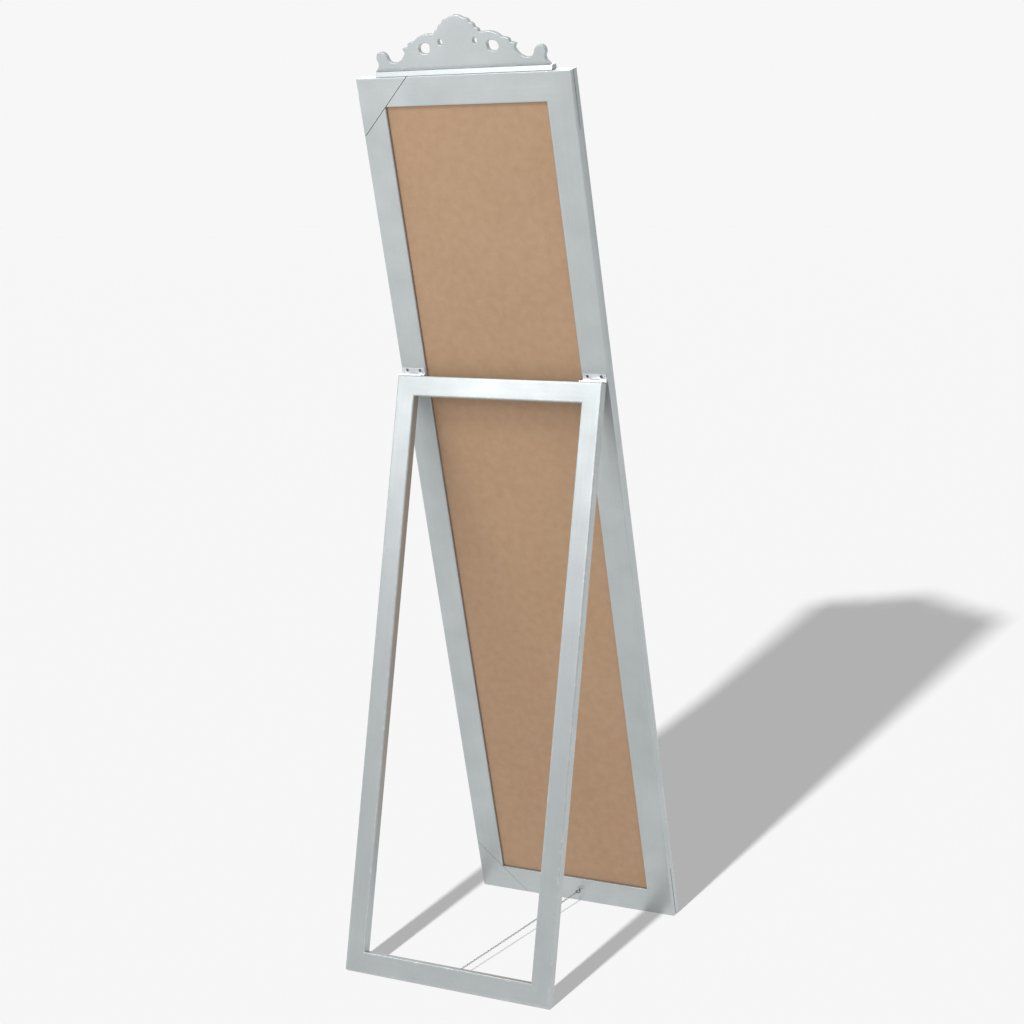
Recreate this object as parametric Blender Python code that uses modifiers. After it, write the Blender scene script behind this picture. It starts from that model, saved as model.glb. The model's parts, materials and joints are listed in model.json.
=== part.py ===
"""Full-length floor mirror on a folding easel stand.

Metres, +Z up. The glass faces -Y, so a person in front of it sees -X on the left. The object
stands on z = 0, with its origin under the middle of its box.

Two empties carry the two bodies. "mirror_frame" lies on the frame's lower back edge and leans
back with it: there X runs across, Z runs up the frame and Y points out of the back. "stand_hinge"
lies on the hinge line: there Z runs up the stand and Y points away from the mirror.
"""

import math

import bmesh
import bpy
from mathutils import Matrix, Vector

MM = 0.001
FIT_GAP = 0.3 * MM  # between any two pieces that touch

# How it stands
LEAN = math.radians(14.0)  # the mirror, back from upright
SPREAD = math.radians(12.5)  # the stand, the other way from upright

# Mirror frame
FRAME_WIDTH = 390 * MM
FRAME_HEIGHT = 1520 * MM
MEMBER_WIDTH = 47.5 * MM  # at the back, from the outer edge to the rebate
LIP = 8 * MM  # how far the front overlaps the glass
REBATE = 12.1 * MM  # depth of the rebate
BACK_ARRIS = 1.2 * MM
INNER_ARRIS = 0.8 * MM
OUTER_BEAD = 6 * MM
INNER_BEAD = 4 * MM
FRAME_DEPTH = 25 * MM
BEAD_STEP = 3 * MM  # the inner bead stands this much lower than the outer one
FIELD_DROP = 2.5 * MM  # the flat between them lies this far below each bead's top
MITRE_GAP = FIT_GAP / math.sqrt(2)

# Glass and backing board, in the rebate
BOARD_RECESS = 4.5 * MM
BOARD_THICKNESS = 3 * MM
GLASS_THICKNESS = 4 * MM
EDGE_PLAY = 0.6 * MM

# Corner plates: right triangles whose long side passes the rebate's corner
PLATE_LEG = 2 * MEMBER_WIDTH
PLATE_THICKNESS = 8 * MM
PLATE_ARRIS = 0.6 * MM
POCKET_OVERRUN = 10 * MM
OPEN_SEAM = 1.0 * MM
TIGHT_SEAM = 0.3 * MM
# corner: (side in X, side in Z, seam along the long side, seam under the plate)
CORNERS = {
    "top_left": (-1, 1, TIGHT_SEAM, OPEN_SEAM),
    "top_right": (1, 1, OPEN_SEAM, TIGHT_SEAM),
    "bottom_left": (-1, -1, TIGHT_SEAM, OPEN_SEAM),
    "bottom_right": (1, -1, 0.5 * MM, TIGHT_SEAM),
}

# Crest and the lath under it
CREST_BACK = -10 * MM
CREST_THICKNESS = 10 * MM
BASE_HEIGHT = 7.5 * MM
BASE_HALF_LENGTH = 160 * MM
BASE_BACK = -5 * MM
BASE_FRONT = -22.5 * MM
BASE_CHAMFER = 4.5 * MM
CREST_DOWEL_X = 75 * MM
CREST_DOWEL_RADIUS = 3 * MM
CREST_DOWEL_LENGTH = 30 * MM
CREST_DOWEL_DEPTH = 11 * MM  # into the rail
RELIEF_THICKNESS = 5 * MM

# Stand
STAND_WIDTH = 385 * MM
STAND_BAR = 34.5 * MM
STAND_THICKNESS = 18 * MM
STAND_ARRIS = 2.5 * MM
STAND_FRONT = -2 * MM  # its front face, measured from the hinge line
STAND_DOWEL_RADIUS = 2.5 * MM
STAND_DOWEL_LENGTH = 22 * MM

# Hinges
HINGE_HEIGHT = 1016 * MM  # hinge line, up the back of the frame
HINGE_X = 171 * MM
LEAF_WIDTH = 43 * MM
LEAF_REACH = 12 * MM
LEAF_THICKNESS = 1.2 * MM
LEAF_START = 2.9 * MM
BARREL_RADIUS = 2.5 * MM
BARREL_OFFSET = BARREL_RADIUS + FIT_GAP  # hinge line to the wood on each side
MIDDLE_KNUCKLE = 17.4 * MM
PIN_RADIUS = 1.2 * MM
PIN_CLEARANCE = 0.1 * MM
PIN_LENGTH = 44.5 * MM
HINGE_SCREW_X = 12.5 * MM  # each side of the leaf's middle
HINGE_SCREW_REACH = 7.6 * MM
UPPER_SCREW_LENGTH = 12 * MM
LOWER_SCREW_LENGTH = 8 * MM
SCREW_HEAD_RADIUS = 2.5 * MM
SCREW_SHANK_RADIUS = 1.3 * MM

# Screw eyes and the check chain between them
EYE_RING_RADIUS = 4 * MM
EYE_WIRE_RADIUS = 1 * MM
EYE_STANDOFF = 6.5 * MM  # wood to the middle of the ring
EYE_SHANK_END = 10 * MM  # depth in the wood
MIRROR_EYE_X = -9 * MM
STAND_EYE_X = 3 * MM
CHAIN_RADIUS = 1.6 * MM
CHAIN_SAG = 1.5 * MM
CHAIN_POINTS = 24

ROUND = 24  # sides of a round piece


# Worked out from the driving dimensions


def lowest_of_arris(radius, tilt):
    """How far a rounded edge, tilted from square, stops above its sharp corner."""
    return radius * (math.cos(tilt) + math.sin(tilt) - 1)


HINGE_LOCAL = Vector((0, BARREL_OFFSET, HINGE_HEIGHT))
FRAME_MATRIX = (
    Matrix.Translation((0, 0, -lowest_of_arris(BACK_ARRIS, LEAN)))
    @ Matrix.Rotation(-LEAN, 4, "X")
)
HINGE_POINT = FRAME_MATRIX @ HINGE_LOCAL
STAND_MATRIX = Matrix.Translation(HINGE_POINT) @ Matrix.Rotation(SPREAD, 4, "X")
STAND_TOP = -BARREL_OFFSET
# The lower front edge is an arc: its centre is one radius above the floor.
ARC_DROP = HINGE_POINT.z + (STAND_FRONT + STAND_ARRIS) * math.sin(SPREAD) - STAND_ARRIS
STAND_BOTTOM = -(STAND_ARRIS + ARC_DROP / math.cos(SPREAD))


# Collections, empties and materials


def new_collection(name):
    collection = bpy.data.collections.new(name)
    bpy.context.scene.collection.children.link(collection)
    return collection


def new_empty(name, matrix, parent=None):
    empty = bpy.data.objects.new(name, None)
    empty.empty_display_size = 0.05
    parts.objects.link(empty)
    empty.parent = parent
    empty.matrix_basis = matrix
    return empty


def paint(obj, look):
    """Give the object a Principled material of its own."""
    colour, roughness, metallic = look
    material = bpy.data.materials.new(obj.name)
    material.use_nodes = True
    shader = material.node_tree.nodes["Principled BSDF"]
    shader.inputs["Base Color"].default_value = (*colour, 1)
    shader.inputs["Roughness"].default_value = roughness
    shader.inputs["Metallic"].default_value = metallic
    obj.data.materials.clear()
    obj.data.materials.append(material)


SILVER_PAINT = ((0.52, 0.55, 0.57), 0.38, 0.75)
HARDBOARD = ((0.45, 0.29, 0.17), 0.8, 0.0)
SILVERED_GLASS = ((0.9, 0.92, 0.92), 0.03, 1.0)
BEECH = ((0.62, 0.44, 0.26), 0.6, 0.0)
ZINC = ((0.72, 0.73, 0.74), 0.32, 1.0)


# Building helpers


def place(name, mesh, parent, location=(0, 0, 0), rotation=(0, 0, 0), look=None):
    """Link a mesh as a part, or as a cutter when it has no look."""
    obj = bpy.data.objects.new(name, mesh)
    obj.parent = parent
    obj.location = location
    obj.rotation_euler = rotation
    if look:
        parts.objects.link(obj)
        paint(obj, look)
    else:
        cutters.objects.link(obj)
        obj.hide_render = True
        obj.display_type = "WIRE"
    return obj


def smooth(obj, angle=40):
    obj.data.shade_smooth()
    obj.data.set_sharp_from_angle(angle=math.radians(angle))


def box(name, low, high, parent, look=None):
    """A box between two corners, in the parent's frame."""
    low, high = Vector(low), Vector(high)
    form = bmesh.new()
    bmesh.ops.create_cube(form, size=1)
    bmesh.ops.scale(form, vec=high - low, verts=form.verts)
    mesh = bpy.data.meshes.new(name)
    form.to_mesh(mesh)
    form.free()
    return place(name, mesh, parent, (low + high) / 2, look=look)


def cylinder(name, radius, length, parent, location, rotation, look=None):
    form = bmesh.new()
    bmesh.ops.create_cone(
        form, cap_ends=True, segments=ROUND, radius1=radius, radius2=radius, depth=length
    )
    mesh = bpy.data.meshes.new(name)
    form.to_mesh(mesh)
    form.free()
    obj = place(name, mesh, parent, location, rotation, look)
    smooth(obj)
    return obj


def turned(name, profile, parent, location, rotation, look=None):
    """Turn (radius, height) points, listed from the top down, about Z."""
    mesh = bpy.data.meshes.new(name)
    points = [(radius, 0, height) for radius, height in profile]
    mesh.from_pydata(points, [(i, i + 1) for i in range(len(points) - 1)], [])
    obj = place(name, mesh, parent, location, rotation, look)
    screw = obj.modifiers.new("turn", "SCREW")
    screw.axis = "Z"
    screw.steps = ROUND
    screw.render_steps = ROUND
    screw.use_merge_vertices = True
    screw.merge_threshold = 0.00001
    return obj


def arc(centre, radius, start, end, steps):
    """Points on an arc, angles in degrees."""
    angles = [math.radians(start + (end - start) * i / steps) for i in range(steps + 1)]
    return [
        (centre[0] + radius * math.cos(a), centre[1] + radius * math.sin(a)) for a in angles
    ]


def extruded(name, outlines, thickness, smooth_outline=False):
    """A closed mesh: flat outlines, the first one outside and the rest holes, extruded in Z.

    With smooth_outline, a point is (x, y, "AUTO") on a round stretch or (x, y, "VECTOR") at a
    corner, and the outline is a Bezier curve through the points.
    """
    curve = bpy.data.curves.new(name, "CURVE")
    curve.dimensions = "2D"
    curve.fill_mode = "BOTH"
    curve.extrude = thickness / 2
    curve.resolution_u = 3
    for outline in outlines:
        if smooth_outline:
            spline = curve.splines.new("BEZIER")
            spline.bezier_points.add(len(outline) - 1)
            for point, (x, y, kind) in zip(spline.bezier_points, outline):
                point.co = (x, y, 0)
                point.handle_left_type = kind
                point.handle_right_type = kind
        else:
            spline = curve.splines.new("POLY")
            spline.points.add(len(outline) - 1)
            for point, (x, y) in zip(spline.points, outline):
                point.co = (x, y, 0, 1)
        spline.use_cyclic_u = True
    sketch = bpy.data.objects.new(name + "_sketch", curve)
    cutters.objects.link(sketch)
    graph = bpy.context.evaluated_depsgraph_get()
    mesh = bpy.data.meshes.new_from_object(sketch.evaluated_get(graph))
    bpy.data.objects.remove(sketch)
    form = bmesh.new()
    form.from_mesh(mesh)
    bmesh.ops.remove_doubles(form, verts=form.verts, dist=0.00001)
    bmesh.ops.recalc_face_normals(form, faces=form.faces)
    form.to_mesh(mesh)
    form.free()
    return mesh


def mitred(name, outline, length):
    """Extrude an outline whose x is 0 at the outer edge, and cut both ends at 45 degrees."""
    mesh = extruded(name, [outline], length)
    for vertex in mesh.vertices:
        reach = length / 2 - vertex.co.x - MITRE_GAP
        vertex.co.z = math.copysign(reach, vertex.co.z)
    mesh.update()
    return mesh


def boolean(target, tool, operation="DIFFERENCE"):
    modifier = target.modifiers.new(tool.name, "BOOLEAN")
    modifier.object = tool
    modifier.operation = operation
    modifier.solver = "EXACT"


def bevel(obj, width, segments):
    modifier = obj.modifiers.new("arris", "BEVEL")
    modifier.width = width
    modifier.segments = segments
    modifier.limit_method = "ANGLE"


# Turn about Y that carries a member from its sketch to its place. In the sketch the outer edge
# is at x = 0, the inside of the frame is at +x and the length runs along Z.
MEMBER_TURNS = {
    "stile_left": (-1, 0, 0.0),
    "rail_bottom": (0, -1, -math.pi / 2),
    "stile_right": (1, 0, math.pi),
    "rail_top": (0, 1, math.pi / 2),
}


def four_members(prefix, outline, width, height, centre_z, parent, look):
    """Two stiles and two rails, mitred together round a rectangle."""
    members = {}
    for title, (side_x, side_z, turn) in MEMBER_TURNS.items():
        name = f"{prefix}_{title}"
        length = height if side_x else width
        location = (side_x * width / 2, 0, centre_z + side_z * height / 2)
        mesh = mitred(name, outline, length)
        members[title] = place(name, mesh, parent, location, (0, turn, 0), look)
        smooth(members[title], 25)
    return members


# Mirror frame


def frame_outline():
    """Section of the frame member: x in from the outer edge, y = 0 at the back."""
    inner = MEMBER_WIDTH + LIP
    inner_front = FRAME_DEPTH - BEAD_STEP
    outer_centre = (OUTER_BEAD, -FRAME_DEPTH + OUTER_BEAD)
    inner_centre = (inner - INNER_BEAD, -inner_front + INNER_BEAD)
    field_outer = (2 * OUTER_BEAD, -FRAME_DEPTH + FIELD_DROP)
    field_inner = (inner - 2 * INNER_BEAD - MM, -inner_front + FIELD_DROP)
    return [
        *arc((BACK_ARRIS, -BACK_ARRIS), BACK_ARRIS, 180, 90, 3),
        *arc((MEMBER_WIDTH - INNER_ARRIS, -INNER_ARRIS), INNER_ARRIS, 90, 0, 2),
        (MEMBER_WIDTH, -REBATE),
        (inner, -REBATE),
        *arc(inner_centre, INNER_BEAD, 0, -160, 8),
        field_inner,
        field_outer,
        *arc(outer_centre, OUTER_BEAD, -30, -180, 8),
    ]


def corner_point(side_x, side_z, along_x, along_z):
    """A point of the frame's back, measured inwards from one of its outer corners."""
    height = FRAME_HEIGHT if side_z > 0 else 0
    return (side_x * (FRAME_WIDTH / 2 - along_x), height - side_z * along_z)


def fit_corner_plate(members, title, side_x, side_z, long_seam, floor_seam, parent):
    """Let one triangular plate into the back, in a pocket cut across the mitre."""

    def triangle(leg, start):
        corners = [(start, start), (leg, start), (start, leg)]
        return [corner_point(side_x, side_z, *corner) for corner in corners]

    leg = PLATE_LEG - TIGHT_SEAM
    name = f"corner_plate_{title}"
    mesh = extruded(name, [triangle(leg, 0)], PLATE_THICKNESS)
    upright = (math.pi / 2, 0, 0)
    plate = place(name, mesh, parent, (0, -PLATE_THICKNESS / 2, 0), upright, SILVER_PAINT)
    bevel(plate, PLATE_ARRIS, 2)

    depth = PLATE_THICKNESS + floor_seam
    tool_thickness = depth + POCKET_OVERRUN
    # Starting outside the frame lengthens the legs by as much at each end.
    reach = leg + long_seam * math.sqrt(2) + POCKET_OVERRUN
    mesh = extruded(name + "_pocket", [triangle(reach, -POCKET_OVERRUN)], tool_thickness)
    centre_y = tool_thickness / 2 - depth
    pocket = place(name + "_pocket", mesh, parent, (0, centre_y, 0), upright)
    boolean(members["stile_left" if side_x < 0 else "stile_right"], pocket)
    boolean(members["rail_top" if side_z > 0 else "rail_bottom"], pocket)


def build_frame(parent):
    members = four_members(
        "frame",
        frame_outline(),
        FRAME_WIDTH,
        FRAME_HEIGHT,
        FRAME_HEIGHT / 2,
        parent,
        SILVER_PAINT,
    )
    for title, corner in CORNERS.items():
        fit_corner_plate(members, title, *corner, parent)
    return members


def build_glass_and_board(parent):
    """The pane and the board that closes the back, both loose by EDGE_PLAY in the rebate."""
    half = FRAME_WIDTH / 2 - MEMBER_WIDTH - EDGE_PLAY
    low = MEMBER_WIDTH + EDGE_PLAY
    high = FRAME_HEIGHT - low
    board_front = -(BOARD_RECESS + BOARD_THICKNESS)
    glass_back = board_front - FIT_GAP
    glass_front = glass_back - GLASS_THICKNESS
    box("backing_board", (-half, board_front, low), (half, -BOARD_RECESS, high), parent, HARDBOARD)
    box("mirror_glass", (-half, glass_front, low), (half, glass_back, high), parent, SILVERED_GLASS)


# Crest

# Right half of the crest, from the foot of its end to the middle, millimetres above the rail.
CREST_HALF = [
    (158.5, 7.8, "VECTOR"),
    (151, 19, "AUTO"),
    (153.4, 28.5, "AUTO"),
    (150.6, 36.8, "AUTO"),
    (143, 38.7, "AUTO"),
    (136, 35, "AUTO"),
    (129, 23, "AUTO"),
    (120, 20.8, "AUTO"),
    (112, 22.8, "AUTO"),
    (104.5, 28.3, "AUTO"),
    (99.4, 36, "VECTOR"),
    (103, 43, "VECTOR"),
    (92.4, 45.6, "VECTOR"),
    (91.2, 50.6, "VECTOR"),
    (86, 52.8, "AUTO"),
    (79.5, 53.6, "VECTOR"),
    (70.5, 59.8, "AUTO"),
    (59, 63.6, "AUTO"),
    (48, 63.4, "AUTO"),
    (40.3, 63.6, "VECTOR"),
    (39, 68, "AUTO"),
    (33.5, 70.8, "VECTOR"),
    (31, 76.5, "AUTO"),
    (25.4, 79.2, "VECTOR"),
    (21.6, 84.4, "AUTO"),
    (14.6, 86.4, "VECTOR"),
    (7, 90.2, "AUTO"),
]
CREST_TOP = 91
CREST_SHIFT = 2.8 * MM  # it is glued on this far right of the middle
# Piercings of the right half: centre, half width and half height, in millimetres.
CREST_HOLES = [(62, 41.3, 10, 8.4), (31.5, 50.2, 4, 4.8)]


def mirrored_outline(half, top):
    """Close a right half over its top point, in metres."""
    right = [(x * MM, z * MM, kind) for x, z, kind in half]
    left = [(-x, z, kind) for x, z, kind in reversed(right)]
    return [*right, (0, top * MM, "AUTO"), *left]


def oval(x, z, half_width, half_height):
    """Four Bezier points round an ellipse, in metres."""
    steps = [(1, 0), (0, 1), (-1, 0), (0, -1)]
    return [
        ((x + u * half_width) * MM, (z + v * half_height) * MM, "AUTO") for u, v in steps
    ]


def build_crest(parent, rail):
    holes = [oval(side * x, z, a, b) for x, z, a, b in CREST_HOLES for side in (-1, 1)]
    outline = mirrored_outline(CREST_HALF, CREST_TOP)
    mesh = extruded("crest", [outline, *holes], CREST_THICKNESS, smooth_outline=True)
    upright = (math.pi / 2, 0, 0)
    middle_y = CREST_BACK - CREST_THICKNESS / 2
    centre = (CREST_SHIFT, middle_y, FRAME_HEIGHT)
    crest = place("crest", mesh, parent, centre, upright, SILVER_PAINT)

    section = [
        (BASE_BACK, FIT_GAP),
        (CREST_BACK + MM, BASE_HEIGHT),
        (BASE_FRONT + BASE_CHAMFER / 2, BASE_HEIGHT),
        (BASE_FRONT, BASE_HEIGHT - BASE_CHAMFER),
        (BASE_FRONT, FIT_GAP),
    ]
    mesh = extruded("crest_base", [section], 2 * BASE_HALF_LENGTH)
    along_x = (math.pi / 2, 0, math.pi / 2)
    base = place("crest_base", mesh, parent, (0, 0, FRAME_HEIGHT), along_x, SILVER_PAINT)

    for side, title in ((-1, "left"), (1, "right")):
        foot = FRAME_HEIGHT - CREST_DOWEL_DEPTH
        centre = (side * CREST_DOWEL_X, middle_y, foot + CREST_DOWEL_LENGTH / 2)
        name = f"crest_dowel_{title}"
        cylinder(name, CREST_DOWEL_RADIUS, CREST_DOWEL_LENGTH, parent, centre, (0, 0, 0), BEECH)
        radius = CREST_DOWEL_RADIUS + FIT_GAP
        length = CREST_DOWEL_LENGTH + 2 * FIT_GAP
        bore = cylinder(name + "_bore", radius, length, parent, centre, (0, 0, 0))
        for piece in (rail, base, crest):
            boolean(piece, bore)


# Applied ornament on the front

# Right half of the relief on the crest: a fan of lobes over two sweeping leaves.
CREST_RELIEF_HALF = [
    (92, 11, "VECTOR"),
    (94, 20, "AUTO"),
    (85, 28, "AUTO"),
    (72, 26, "AUTO"),
    (50, 25, "AUTO"),
    (32, 36, "AUTO"),
    (24, 46, "AUTO"),
    (24, 58, "VECTOR"),
    (27, 69, "AUTO"),
    (16, 72, "VECTOR"),
    (12, 82, "AUTO"),
]
CREST_RELIEF_TOP = 84

# Relief on a corner, from the outer corner inwards: two leaves and a middle boss.
CORNER_RELIEF = [
    (5, 5, "AUTO"),
    (30, 6, "AUTO"),
    (60, 10, "AUTO"),
    (92, 24, "VECTOR"),
    (62, 36, "AUTO"),
    (40, 40, "AUTO"),
    (36, 62, "AUTO"),
    (24, 92, "VECTOR"),
    (10, 60, "AUTO"),
    (6, 30, "AUTO"),
]


def build_ornament(parent):
    upright = (math.pi / 2, 0, 0)
    outline = mirrored_outline(CREST_RELIEF_HALF, CREST_RELIEF_TOP)
    mesh = extruded("crest_ornament", [outline], RELIEF_THICKNESS, smooth_outline=True)
    crest_front = CREST_BACK - CREST_THICKNESS
    y = crest_front - FIT_GAP - RELIEF_THICKNESS / 2
    centre = (CREST_SHIFT, y, FRAME_HEIGHT)
    place("crest_ornament", mesh, parent, centre, upright, SILVER_PAINT)

    y = -FRAME_DEPTH - FIT_GAP - RELIEF_THICKNESS / 2
    for title, (side_x, side_z, _, _) in CORNERS.items():
        outline = []
        for along_x, along_z, kind in CORNER_RELIEF:
            x, z = corner_point(side_x, side_z, along_x * MM, along_z * MM)
            outline.append((x, z, kind))
        name = f"corner_ornament_{title}"
        mesh = extruded(name, [outline], RELIEF_THICKNESS, smooth_outline=True)
        place(name, mesh, parent, (0, y, 0), upright, SILVER_PAINT)


# Hinges


def screw_profile(length, play=0.0):
    """Countersunk wood screw, its head's top at height 0; play widens it to a hole."""
    head = SCREW_HEAD_RADIUS + play
    shank = SCREW_SHANK_RADIUS + play
    top = FIT_GAP if play else 0
    return [
        (0, top),
        (head, top),
        (head, -play),
        (shank, -LEAF_THICKNESS - play),
        (shank, -length + 3 * MM - play),
        (0.3 * MM + play, -length - play),
        (0, -length - play),
    ]


def drive_screws(leaf, wood, title, spots, rotation, length, parent):
    """Two screws through a leaf into the wood, each in its own hole."""
    for name, spot in spots.items():
        turned(f"{title}_{name}", screw_profile(length), parent, spot, rotation, ZINC)
        hole = turned(
            f"{title}_{name}_hole", screw_profile(length, FIT_GAP), parent, spot, rotation
        )
        boolean(leaf, hole)
        boolean(wood, hole)


def knuckle(leaf, name, low_x, high_x, web_low, web_high, parent, centre):
    """Join one round knuckle and its web to a leaf. The web's corners are from the hinge line."""
    along_x = (0, math.pi / 2, 0)
    middle = centre + Vector(((low_x + high_x) / 2, 0, 0))
    barrel = cylinder(name, BARREL_RADIUS, high_x - low_x, parent, middle, along_x)
    low = centre + Vector((low_x, *web_low))
    high = centre + Vector((high_x, *web_high))
    web = box(name + "_web", low, high, parent)
    boolean(leaf, web, "UNION")
    boolean(leaf, barrel, "UNION")


def bore_for_pin(leaf, name, parent, centre):
    radius = PIN_RADIUS + PIN_CLEARANCE
    length = LEAF_WIDTH + 4 * MM
    bore = cylinder(name, radius, length, parent, centre, (0, math.pi / 2, 0))
    boolean(leaf, bore)


def build_hinges(members, rail, frame_parent, stand_parent):
    """Two butt hinges: one leaf up the frame's back, the other along the stand's top edge."""
    half = LEAF_WIDTH / 2
    inner_edge = MIDDLE_KNUCKLE / 2
    near = -BARREL_RADIUS
    far = near + LEAF_THICKNESS
    overlap = LEAF_START + FIT_GAP
    for side, title in ((-1, "left"), (1, "right")):
        centre = HINGE_LOCAL + Vector((side * HINGE_X, 0, 0))
        low = centre + Vector((-half, near, LEAF_START))
        high = centre + Vector((half, far, LEAF_REACH))
        upper = box(f"hinge_leaf_upper_{title}", low, high, frame_parent, ZINC)
        outer_knuckles = ((-half, -inner_edge - FIT_GAP), (inner_edge + FIT_GAP, half))
        for number, (low_x, high_x) in enumerate(outer_knuckles):
            name = f"upper_knuckle_{title}_{number}"
            knuckle(upper, name, low_x, high_x, (near, 0), (far, overlap), frame_parent, centre)
        bore_for_pin(upper, f"upper_bore_{title}", frame_parent, centre)
        spots = {
            place_name: centre + Vector((side * shift, far, HINGE_SCREW_REACH))
            for place_name, shift in (("inner", -HINGE_SCREW_X), ("outer", HINGE_SCREW_X))
        }
        wood = members[f"stile_{title}"]
        out_of_back = (-math.pi / 2, 0, 0)
        group = f"hinge_screw_upper_{title}"
        drive_screws(upper, wood, group, spots, out_of_back, UPPER_SCREW_LENGTH, frame_parent)

        centre = Vector((side * HINGE_X, 0, 0))
        low = centre + Vector((-half, LEAF_START, near))
        high = centre + Vector((half, LEAF_REACH + 2 * MM, far))
        lower = box(f"hinge_leaf_lower_{title}", low, high, stand_parent, ZINC)
        name = f"lower_knuckle_{title}"
        web_low, web_high = (0, near), (overlap, far)
        knuckle(lower, name, -inner_edge, inner_edge, web_low, web_high, stand_parent, centre)
        bore_for_pin(lower, f"lower_bore_{title}", stand_parent, centre)
        spots = {
            place_name: centre + Vector((side * shift, HINGE_SCREW_REACH + MM, far))
            for place_name, shift in (("inner", -HINGE_SCREW_X), ("outer", HINGE_SCREW_X))
        }
        group = f"hinge_screw_lower_{title}"
        drive_screws(lower, rail, group, spots, (0, 0, 0), LOWER_SCREW_LENGTH, stand_parent)

        end = PIN_LENGTH / 2
        dome = 0.5 * MM
        pin = [(0, end), (PIN_RADIUS - dome, end), (PIN_RADIUS, end - dome)]
        profile = pin + [(radius, -height) for radius, height in reversed(pin)]
        place_at = HINGE_LOCAL + Vector((side * HINGE_X, 0, 0))
        along_x = (0, math.pi / 2, 0)
        turned(f"hinge_pin_{title}", profile, frame_parent, place_at, along_x, ZINC)


# Stand


def stand_outline():
    """Rounded rectangle: x in from the outer edge, y from front to back."""
    r = STAND_ARRIS
    front = STAND_FRONT
    back = STAND_FRONT + STAND_THICKNESS
    return [
        *arc((r, back - r), r, 180, 90, 3),
        *arc((STAND_BAR - r, back - r), r, 90, 0, 3),
        *arc((STAND_BAR - r, front + r), r, 0, -90, 3),
        *arc((r, front + r), r, -90, -180, 3),
    ]


def build_stand(parent):
    height = STAND_TOP - STAND_BOTTOM
    centre_z = (STAND_TOP + STAND_BOTTOM) / 2
    members = four_members(
        "stand", stand_outline(), STAND_WIDTH, height, centre_z, parent, SILVER_PAINT
    )
    middle_y = STAND_FRONT + STAND_THICKNESS / 2
    for title, (side_x, side_z, _, _) in CORNERS.items():
        x = side_x * (STAND_WIDTH - STAND_BAR) / 2
        z = centre_z + side_z * (height - STAND_BAR) / 2
        across_mitre = (0, math.atan2(side_x, -side_z), 0)
        name = f"stand_dowel_{title}"
        spot = (x, middle_y, z)
        radius = STAND_DOWEL_RADIUS
        cylinder(name, radius, STAND_DOWEL_LENGTH, parent, spot, across_mitre, BEECH)
        length = STAND_DOWEL_LENGTH + 2 * FIT_GAP
        bore = cylinder(name + "_bore", radius + FIT_GAP, length, parent, spot, across_mitre)
        boolean(members["stile_left" if side_x < 0 else "stile_right"], bore)
        boolean(members["rail_top" if side_z > 0 else "rail_bottom"], bore)
    return members


# Screw eyes and check chain


def screw_eye(name, wood, parent, spot, turn):
    """A flat ring on a shank. The spot is on the wood and the ring stands out along +Y."""
    bpy.ops.mesh.primitive_torus_add(
        major_radius=EYE_RING_RADIUS,
        minor_radius=EYE_WIRE_RADIUS,
        major_segments=ROUND,
        minor_segments=10,
    )
    torus = bpy.context.object
    mesh = torus.data
    mesh.name = name
    bpy.data.objects.remove(torus)
    outward = Matrix.Rotation(turn, 3, "Z") @ Vector((0, 1, 0))
    centre = Vector(spot) + outward * EYE_STANDOFF
    eye = place(name, mesh, parent, centre, (0, 0, turn), ZINC)
    smooth(eye)

    ring_edge = EYE_STANDOFF - EYE_RING_RADIUS
    length = ring_edge + EYE_SHANK_END
    middle = Vector(spot) + outward * (ring_edge - length / 2)
    along_y = (math.pi / 2, 0, 0)
    shank = cylinder(name + "_shank", EYE_WIRE_RADIUS, length, parent, middle, along_y)
    boolean(eye, shank, "UNION")
    radius = EYE_WIRE_RADIUS + FIT_GAP
    depth = EYE_SHANK_END + FIT_GAP
    middle = Vector(spot) + outward * (POCKET_OVERRUN - depth) / 2
    length = depth + POCKET_OVERRUN
    hole = cylinder(name + "_hole", radius, length, parent, middle, along_y)
    boolean(wood, hole)
    return centre


def build_check_chain(start, end):
    """The chain between the rings, drawn tight: a shallow parabola of CHAIN_SAG."""
    clear = EYE_RING_RADIUS + EYE_WIRE_RADIUS + 2 * FIT_GAP
    way = (end - start).normalized()
    start, end = start + way * clear, end - way * clear
    curve = bpy.data.curves.new("check_chain", "CURVE")
    curve.dimensions = "3D"
    curve.bevel_depth = CHAIN_RADIUS
    curve.bevel_resolution = 2
    curve.use_fill_caps = True
    spline = curve.splines.new("POLY")
    spline.points.add(CHAIN_POINTS - 1)
    for number, point in enumerate(spline.points):
        t = number / (CHAIN_POINTS - 1)
        drop = Vector((0, 0, 4 * CHAIN_SAG * t * (1 - t)))
        point.co = (*(start.lerp(end, t) - drop), 1)
    place("check_chain", curve, root, look=ZINC)


# The whole object


def centre_over_origin():
    """Shift the root so that the box of all the parts is centred on x = y = 0."""
    bpy.context.view_layer.update()
    graph = bpy.context.evaluated_depsgraph_get()
    depths = []
    for obj in parts.objects:
        if obj.type == "EMPTY":
            continue
        mesh = obj.evaluated_get(graph).to_mesh()
        depths += [(obj.matrix_world @ vertex.co).y for vertex in mesh.vertices]
    root.location.y = -(min(depths) + max(depths)) / 2
    bpy.context.view_layer.update()


for leftover in list(bpy.data.objects):
    bpy.data.objects.remove(leftover)

parts = new_collection("floor_mirror")
cutters = new_collection("cutters")
root = new_empty("floor_mirror_origin", Matrix.Identity(4))
mirror_frame = new_empty("mirror_frame", FRAME_MATRIX, root)
stand_hinge = new_empty("stand_hinge", STAND_MATRIX, root)

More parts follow.
